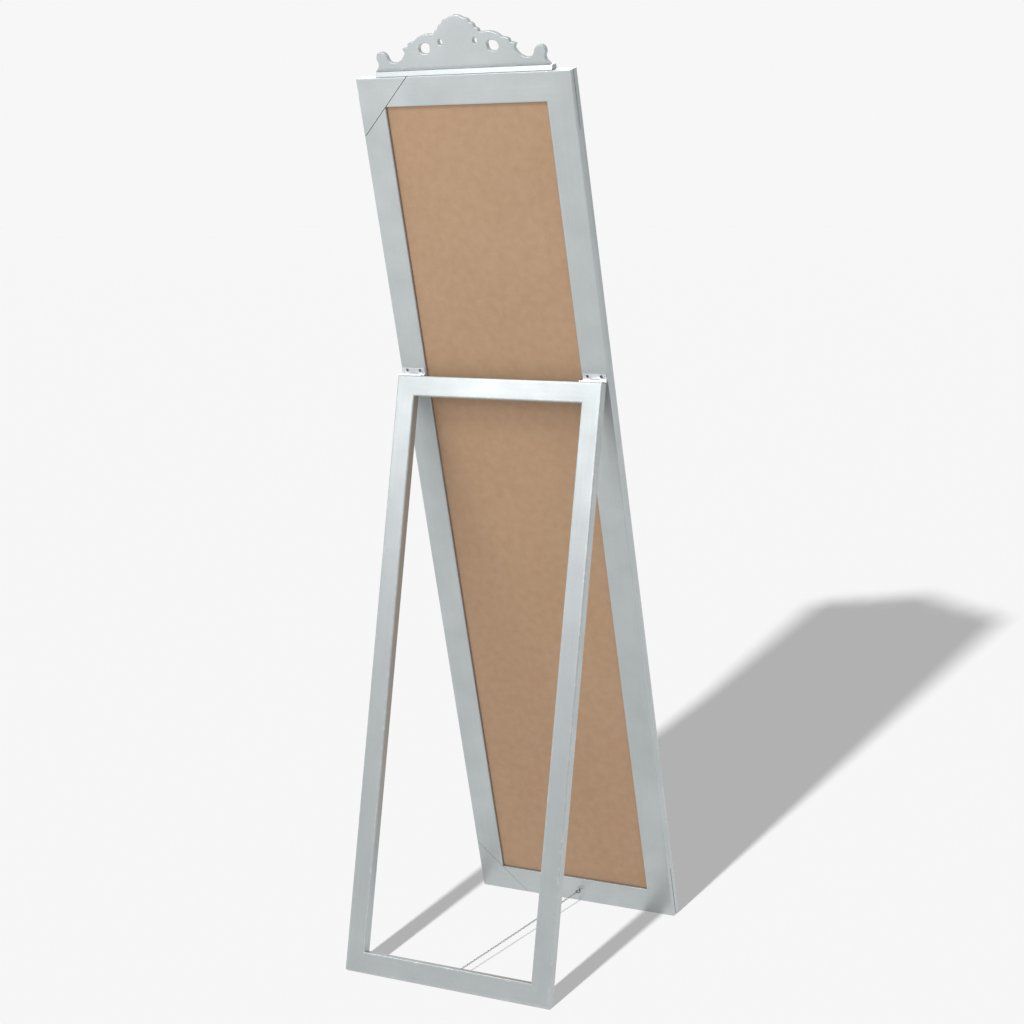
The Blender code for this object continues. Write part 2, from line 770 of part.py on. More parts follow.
frame = build_frame(mirror_frame)
build_glass_and_board(mirror_frame)
build_crest(mirror_frame, frame["rail_top"])
build_ornament(mirror_frame)
stand = build_stand(stand_hinge)
build_hinges(frame, stand["rail_top"], mirror_frame, stand_hinge)

mirror_eye = screw_eye(
    "screw_eye_mirror",
    frame["rail_bottom"],
    mirror_frame,
    (MIRROR_EYE_X, 0, MEMBER_WIDTH / 2),
    0.0,
)
stand_eye = screw_eye(
    "screw_eye_stand",
    stand["rail_bottom"],
    stand_hinge,
    (STAND_EYE_X, STAND_FRONT, STAND_BOTTOM + STAND_BAR / 2),
    math.pi,
)
build_check_chain(FRAME_MATRIX @ mirror_eye, STAND_MATRIX @ stand_eye)
centre_over_origin()
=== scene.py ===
# %% [markdown]
# # A floor mirror on a folding easel stand
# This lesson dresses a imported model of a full-length mirror. The model already has the right sizes
# and the stand's hinge. What it lacks is what the eye enjoys: fine mouldings, carving, a bevelled
# pane, screws, a chain of separate links, and paint, board, glass and zinc that look real.

import json
import math

import bmesh
import bpy
import numpy as np
from mathutils import Matrix, Vector
from mathutils.geometry import delaunay_2d_cdt


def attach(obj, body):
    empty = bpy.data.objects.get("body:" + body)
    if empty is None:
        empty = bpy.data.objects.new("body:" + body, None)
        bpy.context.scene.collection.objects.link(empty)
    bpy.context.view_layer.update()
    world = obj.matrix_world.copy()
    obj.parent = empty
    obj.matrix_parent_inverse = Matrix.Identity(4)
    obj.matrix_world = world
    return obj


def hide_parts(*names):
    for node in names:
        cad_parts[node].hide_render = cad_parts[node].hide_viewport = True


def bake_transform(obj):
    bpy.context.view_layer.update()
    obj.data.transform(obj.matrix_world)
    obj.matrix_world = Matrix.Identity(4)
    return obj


MM = 0.001
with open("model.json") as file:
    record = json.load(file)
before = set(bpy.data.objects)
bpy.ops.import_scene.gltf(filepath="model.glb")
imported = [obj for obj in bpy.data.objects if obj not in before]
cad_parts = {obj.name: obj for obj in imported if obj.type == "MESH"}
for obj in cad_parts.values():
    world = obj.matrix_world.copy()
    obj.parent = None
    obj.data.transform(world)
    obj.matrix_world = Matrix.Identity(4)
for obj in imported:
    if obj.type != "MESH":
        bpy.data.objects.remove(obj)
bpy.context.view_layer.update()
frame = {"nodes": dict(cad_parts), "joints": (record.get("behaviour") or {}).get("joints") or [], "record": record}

# %% [markdown]
# The interesting side of an easel-backed mirror is its back, so the camera stands behind it and to
# one side, at the height of a person's chest, with a long lens, so that upright lines hardly
# converge. A camera looks along its own -Z, so its matrix has three columns: its right, its up, and
# the way back from the mirror to the camera.

# %% Camera
CAMERA_PLACE = (-1.67806, 3.05778, 1.32318)
CAMERA_AZIMUTH = math.radians(208.7254)
CAMERA_ELEVATION = math.radians(9.2349)
CAMERA_ROLL = math.radians(-0.9776)
CAMERA_LENS = 73.67


def camera_matrix(place, azimuth, elevation, roll):
    """Columns are right, up and back; the roll turns right and up about the line of sight."""
    level = math.cos(elevation)
    back = Vector((math.sin(azimuth) * level, -math.cos(azimuth) * level, math.sin(elevation)))
    right = Vector((0, 0, 1)).cross(back).normalized()
    up = back.cross(right)
    turned_right = right * math.cos(roll) + up * math.sin(roll)
    turned_up = up * math.cos(roll) - right * math.sin(roll)
    axes = Matrix((turned_right, turned_up, back)).transposed()
    return Matrix.Translation(place) @ axes.to_4x4()


camera = bpy.data.objects.new("camera", bpy.data.cameras.new("camera"))
bpy.context.scene.collection.objects.link(camera)
camera.matrix_world = camera_matrix(CAMERA_PLACE, CAMERA_AZIMUTH, CAMERA_ELEVATION, CAMERA_ROLL)
camera.data.lens = CAMERA_LENS
camera.data.clip_end = 200
bpy.context.scene.camera = camera
bpy.context.scene.view_settings.view_transform = "Standard"
print("camera at", [round(c, 2) for c in camera.location])

# %% [markdown]
# Every material below is a small graph of nodes. Two helpers keep the graphs short. One turns the
# familiar sRGB hex colour into the linear numbers that a shader wants. The other adds a node, sets
# it up and wires it in one go. A colour ramp takes its stops there too; a new ramp has two, and
# spare ones start at the far end, so that giving each its place in order never changes the order.

# %% Colour and node helpers


def to_linear(text):
    """Linear RGBA of an sRGB hex colour: c/12.92 below 0.04045, else ((c + 0.055)/1.055)^2.4."""
    values = np.array([int(text[i : i + 2], 16) for i in (1, 3, 5)]) / 255
    linear = np.where(values <= 0.04045, values / 12.92, ((values + 0.055) / 1.055) ** 2.4)
    return (*linear, 1.0)


def add_node(tree, kind, inputs=None, stops=(), **settings):
    """Add one node with its settings, a value or a link for each named input, and a ramp's stops."""
    node = tree.nodes.new(kind)
    for name, value in settings.items():
        setattr(node, name, value)
    for socket, value in (inputs or {}).items():
        if isinstance(value, bpy.types.NodeSocket):
            tree.links.new(value, node.inputs[socket])
        else:
            node.inputs[socket].default_value = value
    if stops:
        elements = node.color_ramp.elements
        while len(elements) < len(stops):
            elements.new(1.0)
        for element, (position, colour) in zip(elements, stops):
            element.position = position
            element.color = to_linear(colour)
    return node


def new_material(name):
    """A material whose only node so far is a Principled shader, wired to the output."""
    material = bpy.data.materials.new(name)
    material.use_nodes = True
    tree = material.node_tree
    tree.nodes.clear()
    shader = add_node(tree, "ShaderNodeBsdfPrincipled")
    add_node(tree, "ShaderNodeOutputMaterial", {"Surface": shader.outputs["BSDF"]})
    return material, tree, shader


# %% [markdown]
# The room is a plain pale sweep. A studio would use a white floor lit on its own, apart from the
# product, and that is what is done here: one lamp lights only the floor, and throws the long
# shadow; the softboxes light only the mirror. Light linking makes that split.
#
# A lamp a few metres away lights the near floor more than the far floor. Its light on a floor falls
# as lamp height / distance^3, so the paper's paleness is made to grow as distance^3, and the floor
# comes out even, right up to a horizon that can't be seen. The rest of its tone is a soft glow, as
# of a floor lit from below, which is all that is left inside the shadow.

# %% Floor
FLOOR_HALF = 40.0
BACKDROP_PALE = "#f7f7f7"
SHADOW_TONE = "#b1b1b1"
LAMP_PLACE = (-0.51, 6.42, 4.53)
PAPER_PALENESS = 0.00002


def make_floor():
    """A square on z = 0 that glows in the shadow tone and reflects PAPER_PALENESS (r / r0)^3."""
    mesh = bpy.data.meshes.new("studio_floor")
    corners = [(x * FLOOR_HALF, y * FLOOR_HALF, 0) for x, y in ((-1, -1), (1, -1), (1, 1), (-1, 1))]
    mesh.from_pydata(corners, [], [(0, 1, 2, 3)])
    floor = bpy.data.objects.new("studio_floor", mesh)
    bpy.context.scene.collection.objects.link(floor)
    material, tree, shader = new_material("white_studio_floor")
    here = add_node(tree, "ShaderNodeTexCoord").outputs["Object"]
    away = add_node(tree, "ShaderNodeVectorMath", {0: here, 1: LAMP_PLACE}, operation="DISTANCE")
    value = away.outputs["Value"]
    for operation, number in (
        ("DIVIDE", math.dist(LAMP_PLACE, (0, 0, 0))),
        ("POWER", 3.0),
        ("MULTIPLY", PAPER_PALENESS),
    ):
        value = add_node(tree, "ShaderNodeMath", {0: value, 1: number}, operation=operation).outputs[0]
    tree.links.new(value, shader.inputs["Base Color"])
    shader.inputs["Emission Color"].default_value = to_linear(SHADOW_TONE)
    shader.inputs["Emission Strength"].default_value = 1.0
    shader.inputs["Roughness"].default_value = 1.0
    shader.inputs["Specular IOR Level"].default_value = 0.0
    mesh.materials.append(material)
    return floor


floor = make_floor()

# %% [markdown]
# The light from all round comes from the world. It is bright overhead, where a studio has a white
# ceiling, and dimmer at the horizon and below, so that satin metal shows a gentle gradient. What
# the camera sees straight past the mirror is a separate, even tone.

# %% World
SKY = ((0, "#a4a4a4"), (0.46, "#acadae"), (0.56, "#bfc0c1"), (0.8, "#f2f4f5"), (1, "#ffffff"))


def make_world():
    """The tone follows the height of the direction looked in, from straight down to straight up."""
    world = bpy.data.worlds.new("studio")
    bpy.context.scene.world = world
    world.use_nodes = True
    tree = world.node_tree
    tree.nodes.clear()
    direction = add_node(tree, "ShaderNodeTexCoord")
    split = add_node(tree, "ShaderNodeSeparateXYZ", {"Vector": direction.outputs["Generated"]})
    height = add_node(
        tree, "ShaderNodeMapRange", {"Value": split.outputs["Z"], "From Min": -1.0, "From Max": 1.0}
    )
    ramp = add_node(tree, "ShaderNodeValToRGB", {"Fac": height.outputs["Result"]}, SKY)
    around = add_node(tree, "ShaderNodeBackground", {"Color": ramp.outputs["Color"]})
    seen = add_node(tree, "ShaderNodeBackground", {"Color": to_linear(BACKDROP_PALE)})
    straight = add_node(tree, "ShaderNodeLightPath")
    both = add_node(
        tree,
        "ShaderNodeMixShader",
        {0: straight.outputs["Is Camera Ray"], 1: around.outputs[0], 2: seen.outputs[0]},
    )
    add_node(tree, "ShaderNodeOutputWorld", {"Surface": both.outputs[0]})


make_world()
print("sky stops:", len(SKY))

# %% [markdown]
# Three of the lights go in now. The lamp for the floor is small, so its shadow has a nearly sharp
# edge. The key softbox is the one that the stand mirrors to the camera: it stands as far to one side
# of the stand as the camera does to the other. The high one throws the soft shadow under the rail.

# %% Lights
LAMP_WATTS = 1.03e8
LAMP_RADIUS = 0.12


def only_on(light, name, receivers, state):
    """Light linking: the light reaches only the receivers (INCLUDE), or all but them (EXCLUDE)."""
    group = bpy.data.collections.new(name)
    for receiver in receivers:
        group.objects.link(receiver)
    light.light_linking.receiver_collection = group
    for link in group.collection_objects:
        link.light_linking.link_state = state


def aim(obj, place, target):
    """Put an object somewhere with its -Z towards the target."""
    way = Vector(target) - Vector(place)
    obj.matrix_world = Matrix.Translation(place) @ way.to_track_quat("-Z", "Y").to_matrix().to_4x4()


def softbox(name, place, target, width, height, watts, spared=()):
    """A rectangular lamp, unseen by the camera, that lights all but the floor and what is spared."""
    lamp = bpy.data.lights.new(name, "AREA")
    lamp.shape = "RECTANGLE"
    lamp.size = width
    lamp.size_y = height
    lamp.energy = watts
    obj = bpy.data.objects.new(name, lamp)
    bpy.context.scene.collection.objects.link(obj)
    aim(obj, place, target)
    obj.visible_camera = False
    only_on(obj, name + "_reach", [floor, *spared], "EXCLUDE")


floor_lamp = bpy.data.objects.new("floor_lamp", bpy.data.lights.new("floor_lamp", "POINT"))
bpy.context.scene.collection.objects.link(floor_lamp)
floor_lamp.location = LAMP_PLACE
floor_lamp.data.energy = LAMP_WATTS
floor_lamp.data.shadow_soft_size = LAMP_RADIUS
only_on(floor_lamp, "floor_lamp_reach", [floor], "INCLUDE")
softbox("key_softbox", (1.05, 2.0, 1.85), (0, 0.05, 0.95), 0.9, 0.7, 11)
softbox("high_softbox", (0.4, 2.0, 3.1), (0, 0.1, 1.1), 0.9, 0.6, 24)

# %% [markdown]
# Silver paint on wood fibre board is a sprayed lacquer with fine aluminium flake. The flake makes
# it part mirror, part matt: it takes on the tone of the room, and a bright line runs along each
# arris. Up close it has sparkle, soft clouds where the spray overlapped, long faint lines from the
# sanding under it, an orange peel that is hardly there, and a little rubbed primer on the edges.
#
# The sparkle of real flake is 0.05 mm across, far too fine to see on a whole mirror, so it is drawn
# at 1.4 mm. Everything but the sanding lines reads Object coordinates. The lines follow
# each bar, so they read the UV map, whose unit is the metre: along the bar, then round it.

# %% Silver paint
FLAKE = 1.4 * MM
CLOUD = 70 * MM
PEEL = 3 * MM
SANDING_LENGTH = 260 * MM
SANDING_WIDTH = 3.5 * MM
RUBBED_SPOT = 9 * MM
PRIMER = "#d9d8d2"


def silver_paint(name, body, pale, dark, roughness, metallic):
    """Base colour = body, moved a little to pale or dark by clouds, flake and sanding lines."""
    material, tree, shader = new_material(name)
    place = add_node(tree, "ShaderNodeTexCoord")
    here = place.outputs["Object"]
    flake = add_node(tree, "ShaderNodeTexNoise", {"Vector": here, "Scale": 1 / FLAKE, "Detail": 2.0})
    cloud = add_node(tree, "ShaderNodeTexNoise", {"Vector": here, "Scale": 1 / CLOUD, "Detail": 3.0})
    peel = add_node(tree, "ShaderNodeTexNoise", {"Vector": here, "Scale": 1 / PEEL, "Detail": 1.0})
    along = add_node(
        tree,
        "ShaderNodeMapping",
        {"Vector": place.outputs["UV"], "Scale": (1 / SANDING_LENGTH, 1 / SANDING_WIDTH, 1)},
    )
    sanding = add_node(
        tree, "ShaderNodeTexNoise", {"Vector": along.outputs[0], "Scale": 1.0, "Detail": 3.0}
    )
    fine = add_node(
        tree,
        "ShaderNodeMapRange",
        {"Value": flake.outputs[0], "From Min": 0.35, "From Max": 0.65, "To Min": -0.12, "To Max": 0.12},
    )
    soft = add_node(
        tree,
        "ShaderNodeMapRange",
        {"Value": cloud.outputs[0], "From Min": 0.3, "From Max": 0.7, "To Min": 0.3, "To Max": 0.7},
    )
    lines = add_node(
        tree,
        "ShaderNodeMapRange",
        {"Value": sanding.outputs[0], "From Min": 0.3, "From Max": 0.7, "To Min": -0.07, "To Max": 0.07},
    )
    first = add_node(tree, "ShaderNodeMath", {0: fine.outputs[0], 1: soft.outputs[0]}, operation="ADD")
    share = add_node(tree, "ShaderNodeMath", {0: first.outputs[0], 1: lines.outputs[0]}, operation="ADD")
    stops = ((0.0, dark), (0.5, body), (1.0, pale))
    tone = add_node(tree, "ShaderNodeValToRGB", {"Fac": share.outputs[0]}, stops)
    arris = add_node(tree, "ShaderNodeAttribute", attribute_name="arris")
    rub = add_node(tree, "ShaderNodeTexNoise", {"Vector": here, "Scale": 1 / RUBBED_SPOT, "Detail": 4.0})
    bare = add_node(
        tree,
        "ShaderNodeMapRange",
        {"Value": rub.outputs[0], "From Min": 0.5, "From Max": 0.72, "To Min": 0.0, "To Max": 0.55},
    )
    worn = add_node(
        tree, "ShaderNodeMath", {0: bare.outputs[0], 1: arris.outputs["Fac"]}, operation="MULTIPLY"
    )
    rubbed = add_node(
        tree,
        "ShaderNodeMix",
        {"Factor": worn.outputs[0], "A": tone.outputs[0], "B": to_linear(PRIMER)},
        data_type="RGBA",
    )
    gloss = add_node(
        tree,
        "ShaderNodeMapRange",
        {"Value": share.outputs[0], "To Min": roughness + 0.06, "To Max": roughness - 0.06},
    )
    bump = add_node(
        tree, "ShaderNodeBump", {"Height": peel.outputs[0], "Strength": 0.35, "Distance": 0.03 * MM}
    )
    tree.links.new(rubbed.outputs["Result"], shader.inputs["Base Color"])
    tree.links.new(gloss.outputs[0], shader.inputs["Roughness"])
    tree.links.new(bump.outputs[0], shader.inputs["Normal"])
    shader.inputs["Metallic"].default_value = metallic
    return material


painted_wood = silver_paint(
    "silver_lacquer_on_fibreboard", "#bbc0c1", "#c6cbcc", "#b0b5b6", roughness=0.42, metallic=0.75
)
painted_resin = silver_paint(
    "silver_lacquer_on_resin", "#b9bebf", "#c8ccce", "#a6abad", roughness=0.36, metallic=0.8
)
print("paints:", painted_wood.name, painted_resin.name)

# %% [markdown]
# Hardboard is wood fibre pressed hot into a thin sheet. Its smooth side is an even warm brown when
# seen from far off. Closer, it is full of short fibres and dark specks, it is a little mottled
# where the fibres lay thicker, and it has a dull sheen from the press plate. Fibres are 0.1 mm
# thick and would vanish here, so the finest layer is drawn at 1.6 mm.

# %% Hardboard
SPECK = 1.6 * MM
MOTTLE = 14 * MM
PATCH = 210 * MM
BROWNS = ((0.3, "#a48366"), (0.5, "#ae8e71"), (0.7, "#b7977a"))


def pressed_hardboard(name):
    """A brown ramp driven by specks, mottling and wide soft patches, in that order of strength."""
    material, tree, shader = new_material(name)
    here = add_node(tree, "ShaderNodeTexCoord").outputs["Object"]
    speck = add_node(
        tree,
        "ShaderNodeTexNoise",
        {"Vector": here, "Scale": 1 / SPECK, "Detail": 4.0, "Roughness": 0.7, "Distortion": 1.2},
    )
    mottle = add_node(tree, "ShaderNodeTexNoise", {"Vector": here, "Scale": 1 / MOTTLE, "Detail": 5.0})
    patch = add_node(tree, "ShaderNodeTexNoise", {"Vector": here, "Scale": 1 / PATCH, "Detail": 2.0})
    fine, middle, wide = (
        add_node(tree, "ShaderNodeMath", {0: layer.outputs[0], 1: share}, operation="MULTIPLY")
        for layer, share in ((speck, 0.5), (mottle, 0.3), (patch, 0.2))
    )
    two = add_node(tree, "ShaderNodeMath", {0: fine.outputs[0], 1: middle.outputs[0]})
    three = add_node(tree, "ShaderNodeMath", {0: two.outputs[0], 1: wide.outputs[0]})
    tone = add_node(tree, "ShaderNodeValToRGB", {"Fac": three.outputs[0]}, BROWNS)
    sheen = add_node(
        tree,
        "ShaderNodeMapRange",
        {"Value": middle.outputs[0], "From Min": 0.1, "From Max": 0.2, "To Min": 0.78, "To Max": 0.6},
    )
    bump = add_node(
        tree, "ShaderNodeBump", {"Height": speck.outputs[0], "Strength": 0.3, "Distance": 0.08 * MM}
    )
    tree.links.new(tone.outputs[0], shader.inputs["Base Color"])
    tree.links.new(sheen.outputs[0], shader.inputs["Roughness"])
    tree.links.new(bump.outputs[0], shader.inputs["Normal"])
    shader.inputs["Specular IOR Level"].default_value = 0.3
    return material


hardboard = pressed_hardboard("bare_hardboard")
print("board:", hardboard.name)

# %% [markdown]
# The pane is float glass, silvered behind. Seen from the front it is all reflection, so it can be
# modelled as a clean metal mirror with the faint green-grey of glass. A trace of dust makes its
# roughness uneven. Zinc plate on steel is a true metal too: bluish, bright, and a little cloudy
# from the plating bath. The screws and eyes are a duller, darker steel, and the chain is nickel
# plated. Beech dowels are bare wood, with their grain along them.

# %% Glass, plated steel and beech
DUST = 90 * MM
SCRATCH = 1.2 * MM
GRAIN_WIDTH = 0.8 * MM
GRAIN_LENGTH = 9 * MM


def silvered_glass(name):
    """A mirror whose roughness rises from 0.004 to 0.03 where dust has settled."""
    material, tree, shader = new_material(name)
    here = add_node(tree, "ShaderNodeTexCoord").outputs["Object"]
    dust = add_node(tree, "ShaderNodeTexNoise", {"Vector": here, "Scale": 1 / DUST, "Detail": 6.0})
    haze = add_node(
        tree,
        "ShaderNodeMapRange",
        {"Value": dust.outputs[0], "From Min": 0.45, "From Max": 0.8, "To Min": 0.004, "To Max": 0.03},
    )
    tree.links.new(haze.outputs[0], shader.inputs["Roughness"])
    shader.inputs["Base Color"].default_value = to_linear("#eef3f1")
    shader.inputs["Metallic"].default_value = 1.0
    return material


def plated_steel(name, pale, dark, smooth, dull, cloud):
    """Metal whose colour goes from dark to pale, and roughness from dull to smooth, in clouds."""
    material, tree, shader = new_material(name)
    here = add_node(tree, "ShaderNodeTexCoord").outputs["Object"]
    bath = add_node(tree, "ShaderNodeTexNoise", {"Vector": here, "Scale": 1 / cloud, "Detail": 4.0})
    stops = ((0.35, dark), (0.65, pale))
    tone = add_node(tree, "ShaderNodeValToRGB", {"Fac": bath.outputs[0]}, stops)
    gloss = add_node(
        tree,
        "ShaderNodeMapRange",
        {"Value": bath.outputs[0], "From Min": 0.35, "From Max": 0.65, "To Min": dull, "To Max": smooth},
    )
    scratch = add_node(
        tree,
        "ShaderNodeTexNoise",
        {"Vector": here, "Scale": 1 / SCRATCH, "Detail": 2.0, "Distortion": 2.0},
    )
    bump = add_node(
        tree, "ShaderNodeBump", {"Height": scratch.outputs[0], "Strength": 0.15, "Distance": 0.008 * MM}
    )
    tree.links.new(tone.outputs[0], shader.inputs["Base Color"])
    tree.links.new(gloss.outputs[0], shader.inputs["Roughness"])
    tree.links.new(bump.outputs[0], shader.inputs["Normal"])
    shader.inputs["Metallic"].default_value = 1.0
    return material


def bare_beech(name):
    """Pale wood with its grain stretched along Z, up which the crest's dowels run."""
    material, tree, shader = new_material(name)
    here = add_node(tree, "ShaderNodeTexCoord").outputs["Object"]
    stretch = add_node(
        tree,
        "ShaderNodeMapping",
        {"Vector": here, "Scale": (1 / GRAIN_WIDTH, 1 / GRAIN_WIDTH, 1 / GRAIN_LENGTH)},
    )
    grain = add_node(
        tree, "ShaderNodeTexNoise", {"Vector": stretch.outputs[0], "Scale": 1.0, "Detail": 4.0}
    )
    woods = ((0.3, "#b98d5c"), (0.7, "#ddb98a"))
    tone = add_node(tree, "ShaderNodeValToRGB", {"Fac": grain.outputs[0]}, woods)
    tree.links.new(tone.outputs[0], shader.inputs["Base Color"])
    shader.inputs["Roughness"].default_value = 0.62
    return material


glass = silvered_glass("silvered_float_glass")
zinc = plated_steel("bright_zinc_plate", "#e6e8ea", "#dcdfe2", 0.34, 0.42, 12 * MM)
steel = plated_steel("dull_screw_steel", "#8d8e90", "#737476", 0.3, 0.42, 4 * MM)
nickel = plated_steel("nickel_plate", "#c2c5c9", "#afb2b6", 0.4, 0.5, 8 * MM)
beech = bare_beech("bare_beech")
print("metals:", zinc.name, steel.name, nickel.name)

# %% [markdown]
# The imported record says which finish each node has. One table turns those names into materials, so
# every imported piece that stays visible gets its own, and new pieces can look theirs up.

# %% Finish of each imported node
FINISHES = {
    "silver_painted_wood": painted_wood,
    "silver_painted_resin": painted_resin,
    "hardboard": hardboard,
    "silvered_glass": glass,
    "beech": beech,
    "zinc_plated_steel": zinc,
    "chain_steel": nickel,
}
for entry in frame["record"]["subparts"]:
    frame["nodes"][entry["node"]].data.materials[0] = FINISHES[entry["material_slot"]]

# %% [markdown]
# Shapes are easiest to think about square-on. The mirror leans back 14 degrees and the stand leans
# the other way by 12.5, so each gets a frame of its own in millimetres, and one function per frame
# carries points to where they stand. Both meet at the hinge line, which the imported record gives.

# %% Two tilted frames
HINGE = np.array(frame["joints"][0]["pos_m"])
LEAN = math.radians(14)
SPREAD = math.radians(12.5)
HINGE_ON_FRAME = np.array((0.0, 2.8, 1016.0))


def turned_about_hinge(points, angle):
    """Turn points about X by the angle, then move the origin to the hinge line, in metres."""
    c, s = math.cos(angle), math.sin(angle)
    turn = np.array(((1, 0, 0), (0, c, -s), (0, s, c)))
    return np.asarray(points, float) @ turn.T * MM + HINGE


def on_mirror(points):
    """x across, y out of the back, z up the frame from its lower back edge, in mm."""
    return turned_about_hinge(np.asarray(points, float) - HINGE_ON_FRAME, -LEAN)


def on_stand(points):
    """x across, y away from the mirror, z up the stand from the hinge line, in mm."""
    return turned_about_hinge(points, SPREAD)


def as_it_is(points):
    """For points that are in world metres already."""
    return np.asarray(points, float)


print("frame's foot at", on_mirror([(0, 0, 0)])[0].round(4))

# %% [markdown]
# A mesh is a list of points and a list of faces that name them. Everything new here is computed as
# whole arrays, so one helper turns arrays into an object, gives it its finish, and lets it ride on
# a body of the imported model. Faces that meet at less than 32 degrees are shaded as one surface.

# %% From arrays to a piece
SMOOTH_BELOW = 32


def enter_piece(name, mesh, body, slot, stands_for=(), material=None):
    """Link a finished mesh as a piece: its finish, the body it rides on, the nodes it stands for."""
    mesh.materials.clear()
    mesh.materials.append(material or FINISHES[slot])
    obj = bpy.data.objects.new(name, mesh)
    bpy.context.scene.collection.objects.link(obj)
    if body:
        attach(obj, body)
    if stands_for:
        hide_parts(*stands_for)
    return obj


def make_piece(name, points, faces, place, body, slot, stands_for=(), **extra):
    """extra may hold corner_uv (one UV per face corner, in metres), arris (one value per point),
    weld (merge points that coincide), angle (where shading breaks, in degrees) and material."""
    mesh = bpy.data.meshes.new(name)
    mesh.from_pydata(place(points).tolist(), [], faces.tolist())
    if "corner_uv" in extra:
        layer = mesh.uv_layers.new(name="length_and_girth")
        layer.data.foreach_set("uv", extra["corner_uv"].astype(np.float32).ravel())
    if "arris" in extra:
        values = mesh.attributes.new("arris", "FLOAT", "POINT")
        values.data.foreach_set("value", extra["arris"].astype(np.float32))
    if extra.get("weld"):
        form = bmesh.new()
        form.from_mesh(mesh)
        bmesh.ops.remove_doubles(form, verts=form.verts, dist=0.00001)
        bmesh.ops.recalc_face_normals(form, faces=form.faces)
        form.to_mesh(mesh)
        form.free()
    mesh.shade_smooth()
    mesh.set_sharp_from_angle(angle=math.radians(extra.get("angle", SMOOTH_BELOW)))
    return enter_piece(name, mesh, body, slot, stands_for, extra.get("material"))


def grid_faces(rows, columns, close_rows=False, close_columns=False):
    """Quads of a grid of points, row by row; closing joins the last row or column to the first."""
    i = np.arange(rows if close_rows else rows - 1)
    j = np.arange(columns if close_columns else columns - 1)
    i, j = np.meshgrid(i, j, indexing="ij")
    next_i, next_j = (i + 1) % rows, (j + 1) % columns
    corners = (i * columns + j, next_i * columns + j, next_i * columns + next_j, i * columns + next_j)
    return np.stack(corners, axis=-1).reshape(-1, 4)


def arc(centre, radius, start, end, steps):
    """Points centre + radius (cos t, sin t), t from start to end in degrees."""
    t = np.radians(np.linspace(start, end, steps + 1))
    return np.column_stack((centre[0] + radius * np.cos(t), centre[1] + radius * np.sin(t)))


# %% [markdown]
# A picture frame is one section carried round a rectangle. The real one is four mitred bars, but
# filler and paint hide the joints, so here it is a single surface. Each point of the section knows
# how far in it sits from the outer edge. At a corner that inset moves it along both sides at once,
# which is exactly what a mitre does. A small radius takes the sharpness off the outer corners: a
# point nearer the edge than the radius runs round an arc, one farther in turns on the spot.

# %% A section carried round a rectangle
GRAIN_SHIFT = 37.0  # from bar to bar, so that no two show the same sanding lines


def around_rectangle(section, half_width, low, high, radius, steps=4):
    """Points (station, section point, xyz) with x = side (half - max(a, r)) + (r - a) cos t, for
    inset a and corner radius r, and the same in z. Returns points, faces and UVs."""
    inset, depth = section[:, 0], section[:, 1]
    t = np.radians(np.linspace(0, 90, steps + 1))
    angles = np.concatenate([t + k * math.pi / 2 for k in range(4)])
    side_x = np.repeat((1, -1, -1, 1), steps + 1)
    side_z = np.repeat((1, 1, -1, -1), steps + 1)
    middle, half_height = (low + high) / 2, (high - low) / 2
    kept = np.maximum(inset, radius)
    swing = np.maximum(radius - inset, 0)
    x = side_x[:, None] * (half_width - kept) + swing * np.cos(angles)[:, None]
    z = middle + side_z[:, None] * (half_height - kept) + swing * np.sin(angles)[:, None]
    points = np.stack((x, np.broadcast_to(depth, x.shape), z), axis=-1)
    stations, count = x.shape
    closed = np.vstack((section, section[:1]))
    girth = np.concatenate(((0.0,), np.cumsum(np.hypot(*np.diff(closed, axis=0).T))))
    following = np.roll(points, -1, axis=0)
    travel = np.abs(following - points).sum(axis=1)
    upright = travel[:, 2] > travel[:, 0]
    start_along = np.where(upright[:, None], points[..., 2], points[..., 0])
    end_along = np.where(upright[:, None], following[..., 2], following[..., 0])
    next_start = np.roll(start_along, -1, axis=1)
    next_end = np.roll(end_along, -1, axis=1)
    u = np.stack((start_along, end_along, next_end, next_start), axis=-1)
    v = np.stack((girth[:-1], girth[:-1], girth[1:], girth[1:]), axis=-1)
    v = np.broadcast_to(v, u.shape) + GRAIN_SHIFT * (np.arange(stations)[:, None, None] // (steps + 1))
    uv = np.stack((u, v), axis=-1).reshape(-1, 4, 2) * MM
    faces = grid_faces(stations, count, close_rows=True, close_columns=True)
    return points.reshape(-1, 3), faces, uv


def round_all_corners(flags, steps=4):
    """Repeat one value per section point at every station of around_rectangle."""
    return np.tile(np.asarray(flags, float), 4 * (steps + 1))


# %% [markdown]
# The frame's own section, from the outer back edge inwards: a small arris, the flat back, the
# rebate that holds glass and board, a bead along the sight edge, a shallow cove, a bold outer bead,
# and a quirk, which is a narrow groove, along the side. The cove is sin-shaped, which catches light
# softly. Next to each arris the section has an extra point, so that the rubbed paint stays close to
# the edge.

# %% Mirror frame
FRAME_WIDTH = 390.0
FRAME_HEIGHT = 1520.0
MEMBER = 47.5
SIGHT = 55.5
SIDE_QUIRK = ((0.0, -12.0), (0.15, -9.6), (0.9, -9.0), (0.9, -8.4), (0.1, -7.9), (0.0, -4.0))


